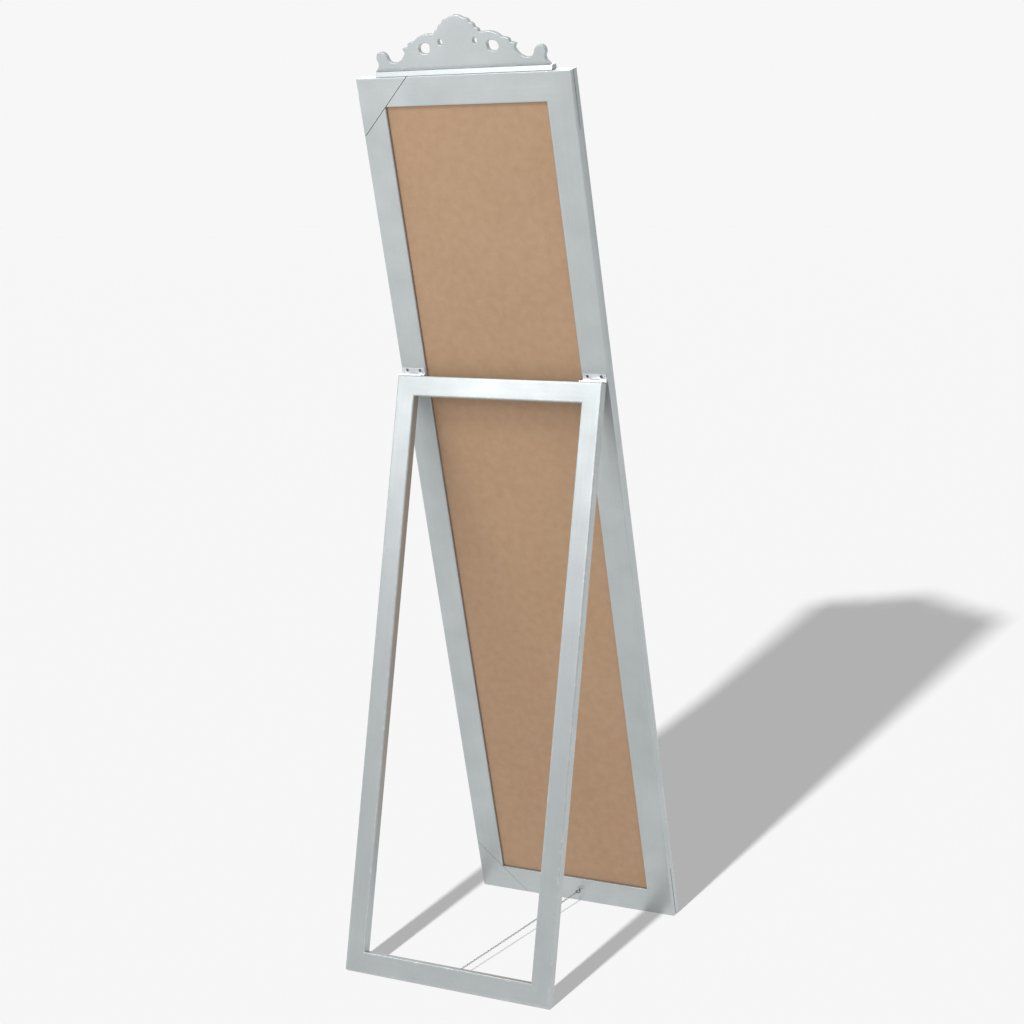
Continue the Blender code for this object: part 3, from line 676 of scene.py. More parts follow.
def frame_section():
    """Rows of (inset, depth, arris); depth is 0 at the back and negative towards the front."""
    cove = np.linspace(0, 1, 13)[1:-1]
    cove_inset = 46.5 + (12.0 - 46.5) * cove
    cove_depth = -19.5 + (-22.5 + 19.5) * cove + 1.6 * np.sin(math.pi * cove)
    runs = [
        (arc((1.2, -1.2), 1.2, 180, 90, 4), 1),
        (np.array(((4.0, 0.0), (44.5, 0.0))), 0),
        (arc((MEMBER - 0.8, -0.8), 0.8, 90, 0, 3), 1),
        (np.array(((MEMBER, -3.0), (MEMBER, -12.1), (SIGHT, -12.1), (SIGHT, -17.5))), 0),
        (arc((SIGHT - 4, -18.0), 4.0, 0, -160, 18), 0.35),
        (np.array(((46.5, -19.5),)), 0),
        (np.column_stack((cove_inset, cove_depth)), 0),
        (np.array(((12.0, -22.5),)), 0),
        (arc((6.0, -19.0), 6.0, -30, -180, 22), 0.35),
        (np.array(SIDE_QUIRK), 0),
    ]
    section = np.vstack([run for run, _ in runs])
    flags = np.concatenate([np.full(len(run), flag) for run, flag in runs])
    return section, flags


section, flags = frame_section()
points, faces, uv = around_rectangle(section, FRAME_WIDTH / 2, 0, FRAME_HEIGHT, 1.0)
mirror_frame = make_piece(
    "mirror_frame_moulding",
    points,
    faces,
    on_mirror,
    "mirror",
    "silver_painted_wood",
    ("frame_stile_left", "frame_stile_right", "frame_rail_top", "frame_rail_bottom"),
    corner_uv=uv,
    arris=round_all_corners(flags),
    weld=True,
)
print("frame faces:", len(mirror_frame.data.polygons))

# %% [markdown]
# A flat triangle of board is let into the back at each corner, to tie the mitre. At some corners
# its edge was filled before painting and has vanished; at others a dark hairline is left, or a slot
# shows on the side where the plate doesn't fill its pocket. Both shapes come from the moulding
# itself: the plate is what the moulding and a prism share, and the pocket is a slightly larger
# prism taken away. So the plate's outer edges carry on the moulding's own rounded arris.

# %% Corner plates
PLATES = {  # side in x, side in z, seam along the plate's long side, gap under the plate
    "top_left": (-1, 1, 0.0, 1.7),
    "top_right": (1, 1, 1.0, 0.0),
    "bottom_left": (-1, -1, 0.0, 1.7),
    "bottom_right": (1, -1, 0.5, 0.0),
}
PLATE_LEG = 94.7
PLATE_DEPTH = 8.0
OVERRUN = 10.0


def corner_prism(side_x, side_z, leg, depth):
    """A right-angled triangle whose legs lie along the two outer edges, from a depth to the air
    behind; it starts outside the frame, so that it cuts cleanly."""
    far = leg + OVERRUN
    corners = np.array(((-OVERRUN, -OVERRUN), (far, -OVERRUN), (-OVERRUN, far)))
    x = side_x * (FRAME_WIDTH / 2 - corners[:, 0])
    z = FRAME_HEIGHT / 2 + side_z * (FRAME_HEIGHT / 2 - corners[:, 1])
    points = np.vstack([np.column_stack((x, np.full(3, y), z)) for y in (-depth, OVERRUN)])
    faces = [(0, 1, 2), (5, 4, 3), (0, 3, 4, 1), (1, 4, 5, 2), (2, 5, 3, 0)]
    mesh = bpy.data.meshes.new("corner_prism")
    mesh.from_pydata(on_mirror(points).tolist(), [], faces)
    form = bmesh.new()
    form.from_mesh(mesh)
    bmesh.ops.recalc_face_normals(form, faces=form.faces)
    form.to_mesh(mesh)
    form.free()
    prism = bpy.data.objects.new("corner_prism", mesh)
    bpy.context.scene.collection.objects.link(prism)
    return prism


def combine(obj, tool, operation):
    """Work a Boolean out for good, so that plain mesh is left, and drop the tool."""
    modifier = obj.modifiers.new("combine", "BOOLEAN")
    modifier.object = tool
    modifier.operation = operation
    graph = bpy.context.evaluated_depsgraph_get()
    mesh = bpy.data.meshes.new_from_object(obj.evaluated_get(graph))
    obj.modifiers.clear()
    obj.data = mesh
    mesh.set_sharp_from_angle(angle=math.radians(SMOOTH_BELOW))
    bpy.data.objects.remove(tool)


whole_moulding = mirror_frame.data.copy()
for title, (side_x, side_z, seam, gap) in PLATES.items():
    plate = enter_piece(
        f"let_in_plate_{title}",
        whole_moulding.copy(),
        "mirror",
        "silver_painted_wood",
        (f"corner_plate_{title}",),
    )
    combine(plate, corner_prism(side_x, side_z, PLATE_LEG, PLATE_DEPTH), "INTERSECT")
    pocket = corner_prism(side_x, side_z, PLATE_LEG + seam * math.sqrt(2), PLATE_DEPTH + gap)
    combine(mirror_frame, pocket, "DIFFERENCE")
    print(plate.name, "faces:", len(plate.data.polygons))

# %% [markdown]
# The stand is the same idea with a plainer section: a flat bar with well rounded edges.

# %% Easel stand
STAND_WIDTH = 385.0
BAR = 34.5
BAR_THICKNESS = 18.0
STAND_ARRIS = 2.5
STAND_FRONT = -2.0
STAND_TOP = -2.8


def stand_section():
    """Rounded rectangle of inset 0 to BAR and depth from the front face to the back face."""
    r = STAND_ARRIS
    back = STAND_FRONT + BAR_THICKNESS
    runs = [
        (arc((r, back - r), r, 180, 90, 6), 1),
        (np.array(((5.0, back), (BAR - 5.0, back))), 0),
        (arc((BAR - r, back - r), r, 90, 0, 6), 1),
        (np.array(((BAR, back - 5.0), (BAR, STAND_FRONT + 5.0))), 0),
        (arc((BAR - r, STAND_FRONT + r), r, 0, -90, 6), 1),
        (np.array(((BAR - 5.0, STAND_FRONT), (5.0, STAND_FRONT))), 0),
        (arc((r, STAND_FRONT + r), r, -90, -180, 6), 1),
        (np.array(((0.0, STAND_FRONT + 5.0), (0.0, back - 5.0))), 0),
    ]
    section = np.vstack([run for run, _ in runs])
    return section, np.concatenate([np.full(len(run), flag) for run, flag in runs])


# The lower front edge is an arc whose centre is one radius above the floor.
drop = HINGE[2] / MM + (STAND_FRONT + STAND_ARRIS) * math.sin(SPREAD) - STAND_ARRIS
STAND_BOTTOM = -(STAND_ARRIS + drop / math.cos(SPREAD))
section, flags = stand_section()
points, faces, uv = around_rectangle(section, STAND_WIDTH / 2, STAND_BOTTOM, STAND_TOP, 1.5)
stand_frame = make_piece(
    "easel_stand",
    points,
    faces,
    on_stand,
    "stand",
    "silver_painted_wood",
    ("stand_stile_left", "stand_stile_right", "stand_rail_top", "stand_rail_bottom"),
    corner_uv=uv,
    arris=round_all_corners(flags),
    weld=True,
)
print("stand faces:", len(stand_frame.data.polygons))

# %% [markdown]
# The crest is sawn from board and pierced, then carved on the front. A shape like that isn't a
# grid, so it is filled with triangles: the outline is a smooth curve through measured points, and
# inside it lie a lattice of points and a few rings close to the edge. The height of each point then
# follows from one number, its distance from the nearest edge. That rounds the arris, raises a rim
# round the outline and a collar round every piercing, and sinks the field between them.

# %% Outlines


SMOOTH_HANDLE = 1 / 2.5614


def closed_curve(controls, steps=6):
    """Cubic curve through (x, z, smooth) controls. At a smooth one the handles lie along the sum of
    the unit directions to its neighbours, SMOOTH_HANDLE of each span long, which turns four of them
    into a good circle; at a corner they lie on the straight lines, a third of the way along."""
    here = np.array([control[:2] for control in controls], float)
    smooth = np.array([control[2] for control in controls], bool)[:, None]
    before = here - np.roll(here, 1, axis=0)
    after = np.roll(here, -1, axis=0) - here
    length_before = np.linalg.norm(before, axis=1, keepdims=True)
    length_after = np.linalg.norm(after, axis=1, keepdims=True)
    tangent = before / length_before + after / length_after
    tangent /= np.linalg.norm(tangent, axis=1, keepdims=True)
    handle_in = here - np.where(smooth, tangent * length_before * SMOOTH_HANDLE, before / 3)
    handle_out = here + np.where(smooth, tangent * length_after * SMOOTH_HANDLE, after / 3)
    s = np.arange(steps)[:, None, None] / steps
    there, handle_there = np.roll(here, -1, axis=0), np.roll(handle_in, -1, axis=0)
    start = (1 - s) ** 3 * here + 3 * (1 - s) ** 2 * s * handle_out
    curve = start + 3 * (1 - s) * s**2 * handle_there + s**3 * there
    return curve.transpose(1, 0, 2).reshape(-1, 2)


def segments_of(loops):
    """Start, end and distance already gone round, for every straight bit of every loop."""
    starts = np.vstack(loops)
    ends = np.vstack([np.roll(loop, -1, axis=0) for loop in loops])
    lengths = [np.hypot(*(np.roll(loop, -1, axis=0) - loop).T) for loop in loops]
    gone = np.concatenate([np.concatenate(((0.0,), np.cumsum(bits)[:-1])) for bits in lengths])
    return starts, ends, gone


def distance_to_edge(points, loops):
    """Distance of each point from the nearest segment, and how far round its loop that is."""
    starts, ends, gone = segments_of(loops)
    spans = ends - starts
    lengths = np.hypot(*spans.T)
    offset = points[:, None] - starts
    t = np.clip((offset * spans).sum(axis=2) / lengths**2, 0, 1)
    distance = np.linalg.norm(offset - t[..., None] * spans, axis=2)
    nearest = distance.argmin(axis=1)
    row = np.arange(len(points))
    return distance[row, nearest], (gone + t * lengths)[row, nearest]


def is_inside(points, loops):
    """Even-odd rule: a ray towards +x crosses the loops an odd number of times."""
    starts, ends, _ = segments_of(loops)
    x, z = points[:, :1], points[:, 1:]
    straddles = (starts[:, 1] > z) != (ends[:, 1] > z)
    rise = np.where(ends[:, 1] == starts[:, 1], 1.0, ends[:, 1] - starts[:, 1])
    crossing = starts[:, 0] + (z - starts[:, 1]) * (ends[:, 0] - starts[:, 0]) / rise
    return (straddles & (x < crossing)).sum(axis=1) % 2 == 1


def fill_loops(loops, pitch, rings):
    """Points and triangles (anticlockwise) that fill the first loop and leave the others open."""
    edge = np.vstack(loops)
    along = np.vstack([np.roll(loop, -1, axis=0) - np.roll(loop, 1, axis=0) for loop in loops])
    square = np.column_stack((-along[:, 1], along[:, 0])) / np.linalg.norm(along, axis=1)[:, None]
    offered, wanted = [], []
    for ring in rings:
        for way in (ring, -ring):
            offered.append(edge + square * way)
            wanted.append(np.full(len(edge), 0.9 * ring))
    low, high = edge.min(axis=0), edge.max(axis=0)
    i, j = np.meshgrid(
        np.arange((high[0] - low[0]) / pitch), np.arange((high[1] - low[1]) / (pitch * 0.866))
    )
    lattice = low + np.column_stack((((i + j % 2 / 2) * pitch).ravel(), (j * pitch * 0.866).ravel()))
    offered.append(lattice)
    wanted.append(np.full(len(lattice), max(rings) + pitch / 2))
    offered, wanted = np.vstack(offered), np.concatenate(wanted)
    distance, _ = distance_to_edge(offered, loops)
    offered = offered[is_inside(offered, loops) & (distance >= wanted)]
    counts = np.cumsum([0] + [len(loop) for loop in loops])
    rims = [np.arange(a, b) for a, b in zip(counts, counts[1:])]
    bounds = np.vstack([np.column_stack((rim, np.roll(rim, -1))) for rim in rims])
    result = delaunay_2d_cdt(np.vstack((edge, offered)).tolist(), bounds.tolist(), [], 0, 1e-6)
    points = np.array([tuple(v) for v in result[0]])
    triangles = np.array(result[2])
    a, b, c = (points[triangles[:, k]] for k in range(3))
    turn = (b[:, 0] - a[:, 0]) * (c[:, 1] - a[:, 1]) - (b[:, 1] - a[:, 1]) * (c[:, 0] - a[:, 0])
    triangles[turn < 0] = triangles[turn < 0][:, ::-1]
    kept = is_inside((a + b + c) / 3, loops) & (np.abs(turn) > 1e-7)
    return points, triangles[kept]


def carved_plate(loops, pitch, rings, front, back):
    """Front skin at y = front(points, distance, along), back skin at y = back(...), and a wall."""
    flat, triangles = fill_loops(loops, pitch, rings)
    distance, along = distance_to_edge(flat, loops)
    count = len(flat)
    directed = np.vstack((triangles[:, (0, 1)], triangles[:, (1, 2)], triangles[:, (2, 0)]))
    one_way = directed[:, 0] * count + directed[:, 1]
    other_way = directed[:, 1] * count + directed[:, 0]
    a, b = directed[~np.isin(one_way, other_way)].T
    wall = np.vstack((np.column_stack((b, a, a + count)), np.column_stack((b, a + count, b + count))))
    skins = [np.column_stack((flat[:, 0], f(flat, distance, along), flat[:, 1])) for f in (front, back)]
    return np.vstack(skins), np.vstack((triangles, triangles[:, ::-1] + count, wall))


def swell(value, middle, reach):
    """A round ridge: 1 in the middle, 0 a reach away, a raised cosine between."""
    return 0.5 + 0.5 * np.cos(math.pi * np.clip((value - middle) / reach, -1, 1))


def ease(value, start, end):
    """A smooth step from 0 at the start to 1 at the end."""
    t = np.clip((value - start) / (end - start), 0, 1)
    return t * t * (3 - 2 * t)


def arris_drop(distance, radius):
    """How far a rounded edge lies below its face: r - sqrt(r^2 - (r - d)^2)."""
    inner = np.clip(radius - distance, 0, radius)
    return radius - np.sqrt(radius**2 - inner**2)


# %% [markdown]
# The crest stands 2.8 mm off the middle, as it was glued. Half its outline is listed, because such
# a pattern is cut from folded paper; the other half is the same points with x turned round. The
# back is plain, with a rounded arris. The front has a raised rim with small lobes, called
# gadroons, then a fine line, then a field with faint ripples from the gouge.

# %% Crest
CREST_SHIFT = 2.8
CREST_BACK = -10.0
CREST_FRONT = -20.0
CREST_PITCH = 1.7
CREST_RINGS = (0.12, 0.4, 0.85, 1.5, 2.4, 3.4)
# Right half, from the foot of its end to the middle: x, height above the rail, smooth or a corner.
CREST_HALF = (
    (158.5, 7.8, 0), (151, 19, 1), (153.4, 28.5, 1), (150.6, 36.8, 1), (143, 38.7, 1), (136, 35, 1),
    (129, 23, 1), (120, 20.8, 1), (112, 22.8, 1), (104.5, 28.3, 1), (99.4, 36, 0), (103, 43, 0),
    (92.4, 45.6, 0), (91.2, 50.6, 0), (86, 52.8, 1), (79.5, 53.6, 0), (70.5, 59.8, 1), (59, 63.6, 1),
    (48, 63.4, 1), (40.3, 63.6, 0), (39, 68, 1), (33.5, 70.8, 0), (31, 76.5, 1), (25.4, 79.2, 0),
    (21.6, 84.4, 1), (14.6, 86.4, 0), (7, 90.2, 1),
)
BIG_PIERCING = (
    (72.2, 40, 1), (69.5, 46.6, 1), (61, 49.6, 1), (53, 47.6, 1), (52, 41, 1), (55, 34.2, 1),
    (63, 33, 1), (70, 35, 1),
)
SMALL_PIERCING = ((35.3, 50, 1), (32, 55, 1), (28.3, 52.5, 1), (27.6, 48, 1), (31, 45.4, 1))


def mirrored(half, top):
    """The right half, a top point, and the left half back down again."""
    left = [(-x, z, smooth) for x, z, smooth in reversed(half)]
    return [*half, (0, top, 1), *left]


def crest_loops():
    """The outline and its four piercings, moved to the crest's place above the rail."""
    flipped = [[(-x, z, smooth) for x, z, smooth in hole] for hole in (BIG_PIERCING, SMALL_PIERCING)]
    holes = [BIG_PIERCING, SMALL_PIERCING, *flipped]
    loops = [closed_curve(mirrored(CREST_HALF, 91)), *[closed_curve(hole, 4) for hole in holes]]
    return [loop + (CREST_SHIFT, FRAME_HEIGHT) for loop in loops]


def crest_front(points, distance, along):
    """A gadrooned rim 1.8 mm proud, a fine inner line, and a field with faint gouge ripples."""
    lobes = 1 - 0.22 * swell(along % 9.0, 4.5, 4.5)
    rim = 1.9 * swell(distance, 3.0, 2.4) * lobes
    line = 0.5 * swell(distance, 7.0, 1.3)
    ripples = 0.18 * np.sin(2 * math.pi * distance / 4.2) * ease(distance, 8, 11)
    return CREST_FRONT + 1.9 + arris_drop(distance, 1.0) - rim - line - ripples


def crest_back(points, distance, along):
    """Flat, with an arris of 1.1 mm all round."""
    return CREST_BACK - arris_drop(distance, 1.1)


points, faces = carved_plate(crest_loops(), CREST_PITCH, CREST_RINGS, crest_front, crest_back)
no_wear = np.zeros(len(points))
crest = make_piece(
    "carved_crest", points, faces, on_mirror, "mirror", "silver_painted_wood", ("crest",), arris=no_wear
)
print("crest triangles:", len(faces))

# %% [markdown]
# The applied ornament is cast resin, glued on the front before painting: a shell over two sweeping
# leaves on the crest, and an acanthus leaf on each corner. The same filling gives their outlines.
# Each is domed by its distance from the edge, and fluted by a cosine of the angle round the point
# that the flutes spring from.

# %% Shell on the crest
SHELL_HALF = (
    (92, 11, 0), (94, 20, 1), (85, 28, 1), (72, 26, 1), (50, 25, 1), (32, 36, 1), (24, 46, 1),
    (24, 58, 0), (27, 69, 1), (16, 72, 0), (12, 82, 1),
)


def shell_front(points, distance, along):
    """A 4 mm dome by distance; flutes fan up from (0, 34); the side leaves have slanting veins."""
    x = points[:, 0] - CREST_SHIFT
    z = points[:, 1] - FRAME_HEIGHT
    reach = np.hypot(x, z - 34)
    angle = np.arctan2(x, z - 34)
    fan = np.abs(np.sin(angle * 7.5)) * ease(reach, 6, 16) * (1 - ease(np.abs(x), 24, 34))
    leaf = ease(np.abs(x), 24, 40)
    veins = swell((np.abs(x) * 0.9 + np.abs(z - 18) * 1.3) % 7.0, 3.5, 3.5) * leaf
    midrib = swell(z - 18 - 2.5 * np.sin(np.abs(x) / 16), 0, 1.8) * leaf
    boss = 1.6 * np.sqrt(np.clip(1 - (reach / 7.5) ** 2, 0, 1))
    dome = 4.0 * (1 - np.exp(-distance / 3.2))
    relief = 0.62 + 0.38 * (1 - leaf) * (0.25 + 0.75 * fan) + 0.3 * leaf * veins
    return CREST_FRONT - 0.2 - dome * relief - 0.8 * midrib * ease(distance, 0.5, 2.5) - boss


def flat_at(depth):
    """A back that lies at one depth, just inside what the ornament is glued to."""
    return lambda points, distance, along: np.full(len(points), depth)


loops = [closed_curve(mirrored(SHELL_HALF, 84), 5) + (CREST_SHIFT, FRAME_HEIGHT)]
points, faces = carved_plate(loops, 1.2, (0.3, 0.8), shell_front, flat_at(CREST_FRONT + 2.2))
resin = "silver_painted_resin"
stands_for = ("crest_ornament",)
make_piece("shell_ornament", points, faces, on_mirror, "mirror", resin, stands_for, angle=50)
print("shell triangles:", len(faces))

# %% [markdown]
# The corner leaf is listed once, in distances from the two outer edges that meet at its corner, so
# the same numbers serve all four corners. Creases fan out from the corner like a folded fan, and a
# round boss with a ring sits where the two bars' middles cross.

# %% Acanthus leaf on each corner
CORNER_LEAF = (
    (5, 5, 1), (20, 3.5, 1), (30, 6, 0), (45, 5, 1), (58, 9, 0), (74, 11, 1), (92, 24, 0), (76, 27, 1),
    (66, 30, 0), (56, 36, 1), (44, 36, 0), (42, 42, 1), (36, 44, 0), (36, 56, 1), (30, 66, 0),
    (27, 76, 1), (24, 92, 0), (11, 74, 1), (9, 58, 0), (5, 45, 1), (6, 30, 0), (3.5, 20, 1),
)


def leaf_front(side_x, side_z):
    """Dome by distance, creased by lobes that fan out from the corner, with a round boss."""

    def height(points, distance, along):
        across = FRAME_WIDTH / 2 - side_x * points[:, 0]
        up = FRAME_HEIGHT / 2 - side_z * (points[:, 1] - FRAME_HEIGHT / 2)
        angle = np.arctan2(up - 6, across - 6)
        reach = np.hypot(across - 6, up - 6)
        creases = np.abs(np.sin(angle * 8 + reach / 30)) * ease(reach, 14, 30)
        ribs = swell(np.minimum(np.abs(angle - 0.17), np.abs(angle - 1.4)), 0, 0.06)
        boss = 2.4 * np.sqrt(np.clip(1 - (np.hypot(across - 23, up - 23) / 9.5) ** 2, 0, 1))
        ring = 0.7 * swell(np.hypot(across - 23, up - 23), 12, 1.6)
        dome = 4.2 * (1 - np.exp(-distance / 4.0))
        return -25.1 - dome * (0.6 + 0.4 * creases) - 0.5 * ribs * ease(distance, 1, 4) - boss - ring

    return height


for title, (side_x, side_z, _, _) in PLATES.items():
    loop = closed_curve(CORNER_LEAF, 4)
    x = side_x * (FRAME_WIDTH / 2 - loop[:, 0])
    z = FRAME_HEIGHT / 2 + side_z * (FRAME_HEIGHT / 2 - loop[:, 1])
    loops = [np.column_stack((x, z))]
    front, back = leaf_front(side_x, side_z), flat_at(-20.5)
    points, faces = carved_plate(loops, 1.4, (0.35, 0.9), front, back)
    name, stands_for = f"acanthus_{title}", (f"corner_ornament_{title}",)
    make_piece(name, points, faces, on_mirror, "mirror", resin, stands_for, angle=50)
print("corner leaf triangles:", len(faces))

# %% [markdown]
# Two small runs of ornament finish the front: a string of pearls along the bead next to the glass,
# and laurel leaves in pairs along the hollow. Each pearl or leaf is one small closed grid, copied
# by adding an array of places to an array of points, and kept to a few dozen faces because there
# are hundreds of them.

# %% Pearls and laurel
PEARL_PITCH = 6.0
PEARL_RADIUS = 2.5
PEARL_DEPTH = -20.8
BEAD_INSET = 51.5
LAUREL_PITCH = 17.0
LAUREL_DEPTH = -19.6
LAUREL_START = 104.0
HOLLOW_INSET = 29.0
LEAF_SPREAD = math.radians(24)


def repeat_form(points, faces, places, turns):
    """Copies of a form: each is turned in the frame's face by an angle and moved to its place."""
    c, s = np.cos(turns)[:, None], np.sin(turns)[:, None]
    x = points[:, 0] * c - points[:, 2] * s
    z = points[:, 0] * s + points[:, 2] * c
    y = np.broadcast_to(points[:, 1], x.shape)
    copies = np.stack((x, y, z), axis=-1) + places[:, None]
    shift = np.arange(len(places))[:, None, None] * len(points)
    return copies.reshape(-1, 3), (faces + shift).reshape(-1, faces.shape[1])


def pearl_form():
    """A sphere of 5 rings of 8 points: r (sin p cos q, -cos p, sin p sin q)."""
    p = np.radians((0.5, 38, 72, 108, 179.5))[:, None]
    q = np.linspace(0, 2 * math.pi, 8, endpoint=False)
    x, z = np.sin(p) * np.cos(q), np.sin(p) * np.sin(q)
    y = np.broadcast_to(-np.cos(p), x.shape)
    points = PEARL_RADIUS * np.stack((x, y, z), axis=-1).reshape(-1, 3)
    return points, grid_faces(5, 8, close_columns=True)


def leaf_form(length, width, height):
    """Rows along s, columns round t: half width w sin(pi s^0.8), lifted by h sin t sin(pi s)."""
    s = np.linspace(0.02, 0.98, 7)[:, None]
    t = np.linspace(0, 2 * math.pi, 8, endpoint=False)
    across = width / 2 * np.sin(math.pi * s**0.8) * np.cos(t)
    lift = height * np.maximum(np.sin(t), -0.4) * np.sin(math.pi * s) ** 0.6
    crease = 0.35 * height * swell(np.cos(t), 0, 0.3) * (np.sin(t) > 0) * np.sin(math.pi * s)
    z = np.broadcast_to(length * s, across.shape)
    points = np.stack((across, crease - lift, z), axis=-1).reshape(-1, 3)
    return points, grid_faces(7, 8, close_columns=True)


def down_the_middle(inset, pitch, start):
    """Places along the four sides at an inset, evenly spaced from start to the far end less start,
    with the angle that points up the side or along the rail."""
    up = np.linspace(start, FRAME_HEIGHT - start, round((FRAME_HEIGHT - 2 * start) / pitch) + 1)
    reach = FRAME_WIDTH / 2 - start
    along = np.linspace(-reach, reach, round(2 * reach / pitch) + 1)
    side = FRAME_WIDTH / 2 - inset
    runs = [(np.full(len(up), x), up) for x in (-side, side)]
    runs += [(along, np.full(len(along), z)) for z in (inset, FRAME_HEIGHT - inset)]
    places = np.vstack([np.column_stack((x, np.zeros(len(x)), z)) for x, z in runs])
    turns = np.repeat((0, -math.pi / 2), (2 * len(up), 2 * len(along)))
    return places, turns


def unite_poles(points, rows, columns):
    """Bring each copy's first and last ring to a point, so that welding closes them."""
    grid = points.reshape(-1, rows, columns, 3)
    for row in (0, -1):
        grid[:, row] = grid[:, row].mean(axis=1, keepdims=True)
    return grid.reshape(-1, 3)


def make_run(name, points, faces, rings, angle):
    """One piece of many small closed forms, each made of so many rings of 8 points."""
    points = unite_poles(points, rings, 8)
    return make_piece(name, points, faces, on_mirror, "mirror", resin, weld=True, angle=angle)


places, turns = down_the_middle(BEAD_INSET, PEARL_PITCH, BEAD_INSET)
points, faces = repeat_form(*pearl_form(), places + (0, PEARL_DEPTH, 0), turns)
pearls = make_run("sight_edge_pearls", points, faces, 5, 70)
places, turns = down_the_middle(HOLLOW_INSET, LAUREL_PITCH, LAUREL_START)
leaf_points, leaf_faces = leaf_form(20.0, 8.5, 2.4)
(points, faces), (other_points, other_faces) = (
    repeat_form(leaf_points, leaf_faces, places + (0, LAUREL_DEPTH, 0), turns + way * LEAF_SPREAD)
    for way in (1, -1)
)
faces = np.vstack((faces, other_faces + len(points)))
laurel = make_run("laurel_leaves", np.vstack((points, other_points)), faces, 7, 60)
print("pearl and laurel faces:", len(pearls.data.polygons), len(laurel.data.polygons))

# %% [markdown]
# The pane has a wide bevel ground round its front edge, as good mirrors have. It is three rings of
# corners: the back edge, the thin outer edge, and the line where the bevel ends. A flat mirror
# shows nothing of its own, so this slope of three degrees is what tells the eye that it is glass.

# %% Bevelled pane
PANE = np.array(((48.1, -7.8), (48.1, -10.4), (72.0, -11.8)))


def pane_surface(rings):
    """Corner points (side x (half - inset), depth, low or high), ring by ring, with two caps."""
    inset, depth = rings[:, :1], rings[:, 1:]
    side_x, side_z = np.array((1, -1, -1, 1)), np.array((-1, -1, 1, 1))
    x = side_x * (FRAME_WIDTH / 2 - inset)
    z = FRAME_HEIGHT / 2 + side_z * (FRAME_HEIGHT / 2 - inset)
    points = np.stack((x, np.broadcast_to(depth, x.shape), z), axis=-1).reshape(-1, 3)
    last = 4 * (len(rings) - 1)
    caps = np.array(((3, 2, 1, 0), (last, last + 1, last + 2, last + 3)))
    return points, np.vstack((grid_faces(len(rings), 4, close_columns=True), caps))


points, faces = pane_surface(PANE)
slot, stands_for = "silvered_glass", ("mirror_glass",)
make_piece("bevelled_pane", points, faces, on_mirror, "mirror", slot, stands_for, weld=True, angle=1)
print("pane faces:", len(faces))

# %% [markdown]
# Each hinge leaf is held by two countersunk screws with a cross recess. A head is a disc of rings
# and spokes. Its height is a low crown less the cross, which is the larger of two soft-edged bars at
# right angles. Every screw stopped at its own angle when it was driven home.

# %% Screws
HINGE_X = 171.0
SCREW_OFFSET = 12.5
HEAD_RADIUS = 2.45
HEAD_RINGS = 12
SPOKES = 36
CROWN = 0.25
CROSS_DEPTH = 0.9
CROSS_HALF_WIDTH = 0.62
CROSS_REACH = 1.75
LEAF_FACE = -1.3
SCREW_REACH = 7.6
LOWER_SCREW_REACH = 8.6
TURN_BETWEEN = 0.83


def screw_surface(quarter_turn):
    """Rings of radius r: crown c (1 - (r/R)^2), less a cross, then the cone and shank below."""
    radii = np.concatenate((np.linspace(0.02, HEAD_RADIUS, HEAD_RINGS), (1.3, 1.3, 0.02)))[:, None]
    below = np.concatenate((np.zeros(HEAD_RINGS), (-1.2, -5.0, -5.0)))[:, None]
    spoke = np.linspace(0, 2 * math.pi, SPOKES, endpoint=False)
    u, v = radii * np.cos(spoke + quarter_turn), radii * np.sin(spoke + quarter_turn)
    bars = [
        ease(CROSS_HALF_WIDTH - np.abs(a), 0, 0.3) * ease(CROSS_REACH - np.abs(b), 0, 0.35)
        for a, b in ((u, v), (v, u))
    ]
    top = CROWN * (1 - (radii / HEAD_RADIUS) ** 2) - CROSS_DEPTH * np.maximum(*bars)
    height = np.where((np.arange(len(radii)) < HEAD_RINGS)[:, None], top, below)
    points = np.stack((radii * np.cos(spoke), radii * np.sin(spoke), height), axis=-1)
    points = unite_poles(points.reshape(-1, 3), len(radii), SPOKES)
    return points, grid_faces(len(radii), SPOKES, close_columns=True)


def on_upper_leaf(points, x):
    """The screw's own up turns to point out of the mirror's back."""
    turned = np.column_stack((points[:, 0], points[:, 2], -points[:, 1]))
    return on_mirror(turned + HINGE_ON_FRAME + (x, LEAF_FACE, SCREW_REACH))


def on_lower_leaf(points, x):
    """The screw's own up points up the stand."""
    return on_stand(points + (x, LOWER_SCREW_REACH, LEAF_FACE))


turn = 0.3
for level, body, place_of in (("upper", "mirror", on_upper_leaf), ("lower", "stand", on_lower_leaf)):
    for side, title in ((-1, "left"), (1, "right")):
        for shift, end in ((-SCREW_OFFSET, "inner"), (SCREW_OFFSET, "outer")):
            turn += TURN_BETWEEN
            points, faces = screw_surface(turn)
            make_piece(
                f"screw_{level}_{title}_{end}",
                place_of(points, side * (HINGE_X + shift)),
                faces,
                as_it_is,
                body,
                "zinc_plated_steel",
                (f"hinge_screw_{level}_{title}_{end}",),
                weld=True,
                angle=40,
                material=steel,
            )
print("screw faces:", len(faces))

# %% [markdown]
# Wire is a circle carried along a path. A screw eye is one bent wire: a shank that rises from the
# wood, leans over, and curls round until it almost meets itself. A chain link is a closed oval of
# thinner wire, every second one turned by a quarter. One function does both, because each path lies
# in a plane, and the plane's normal never turns.

# %% Wire
EYE_RADIUS = 4.0
EYE_STANDOFF = 6.5
EYE_WIRE = 1.0


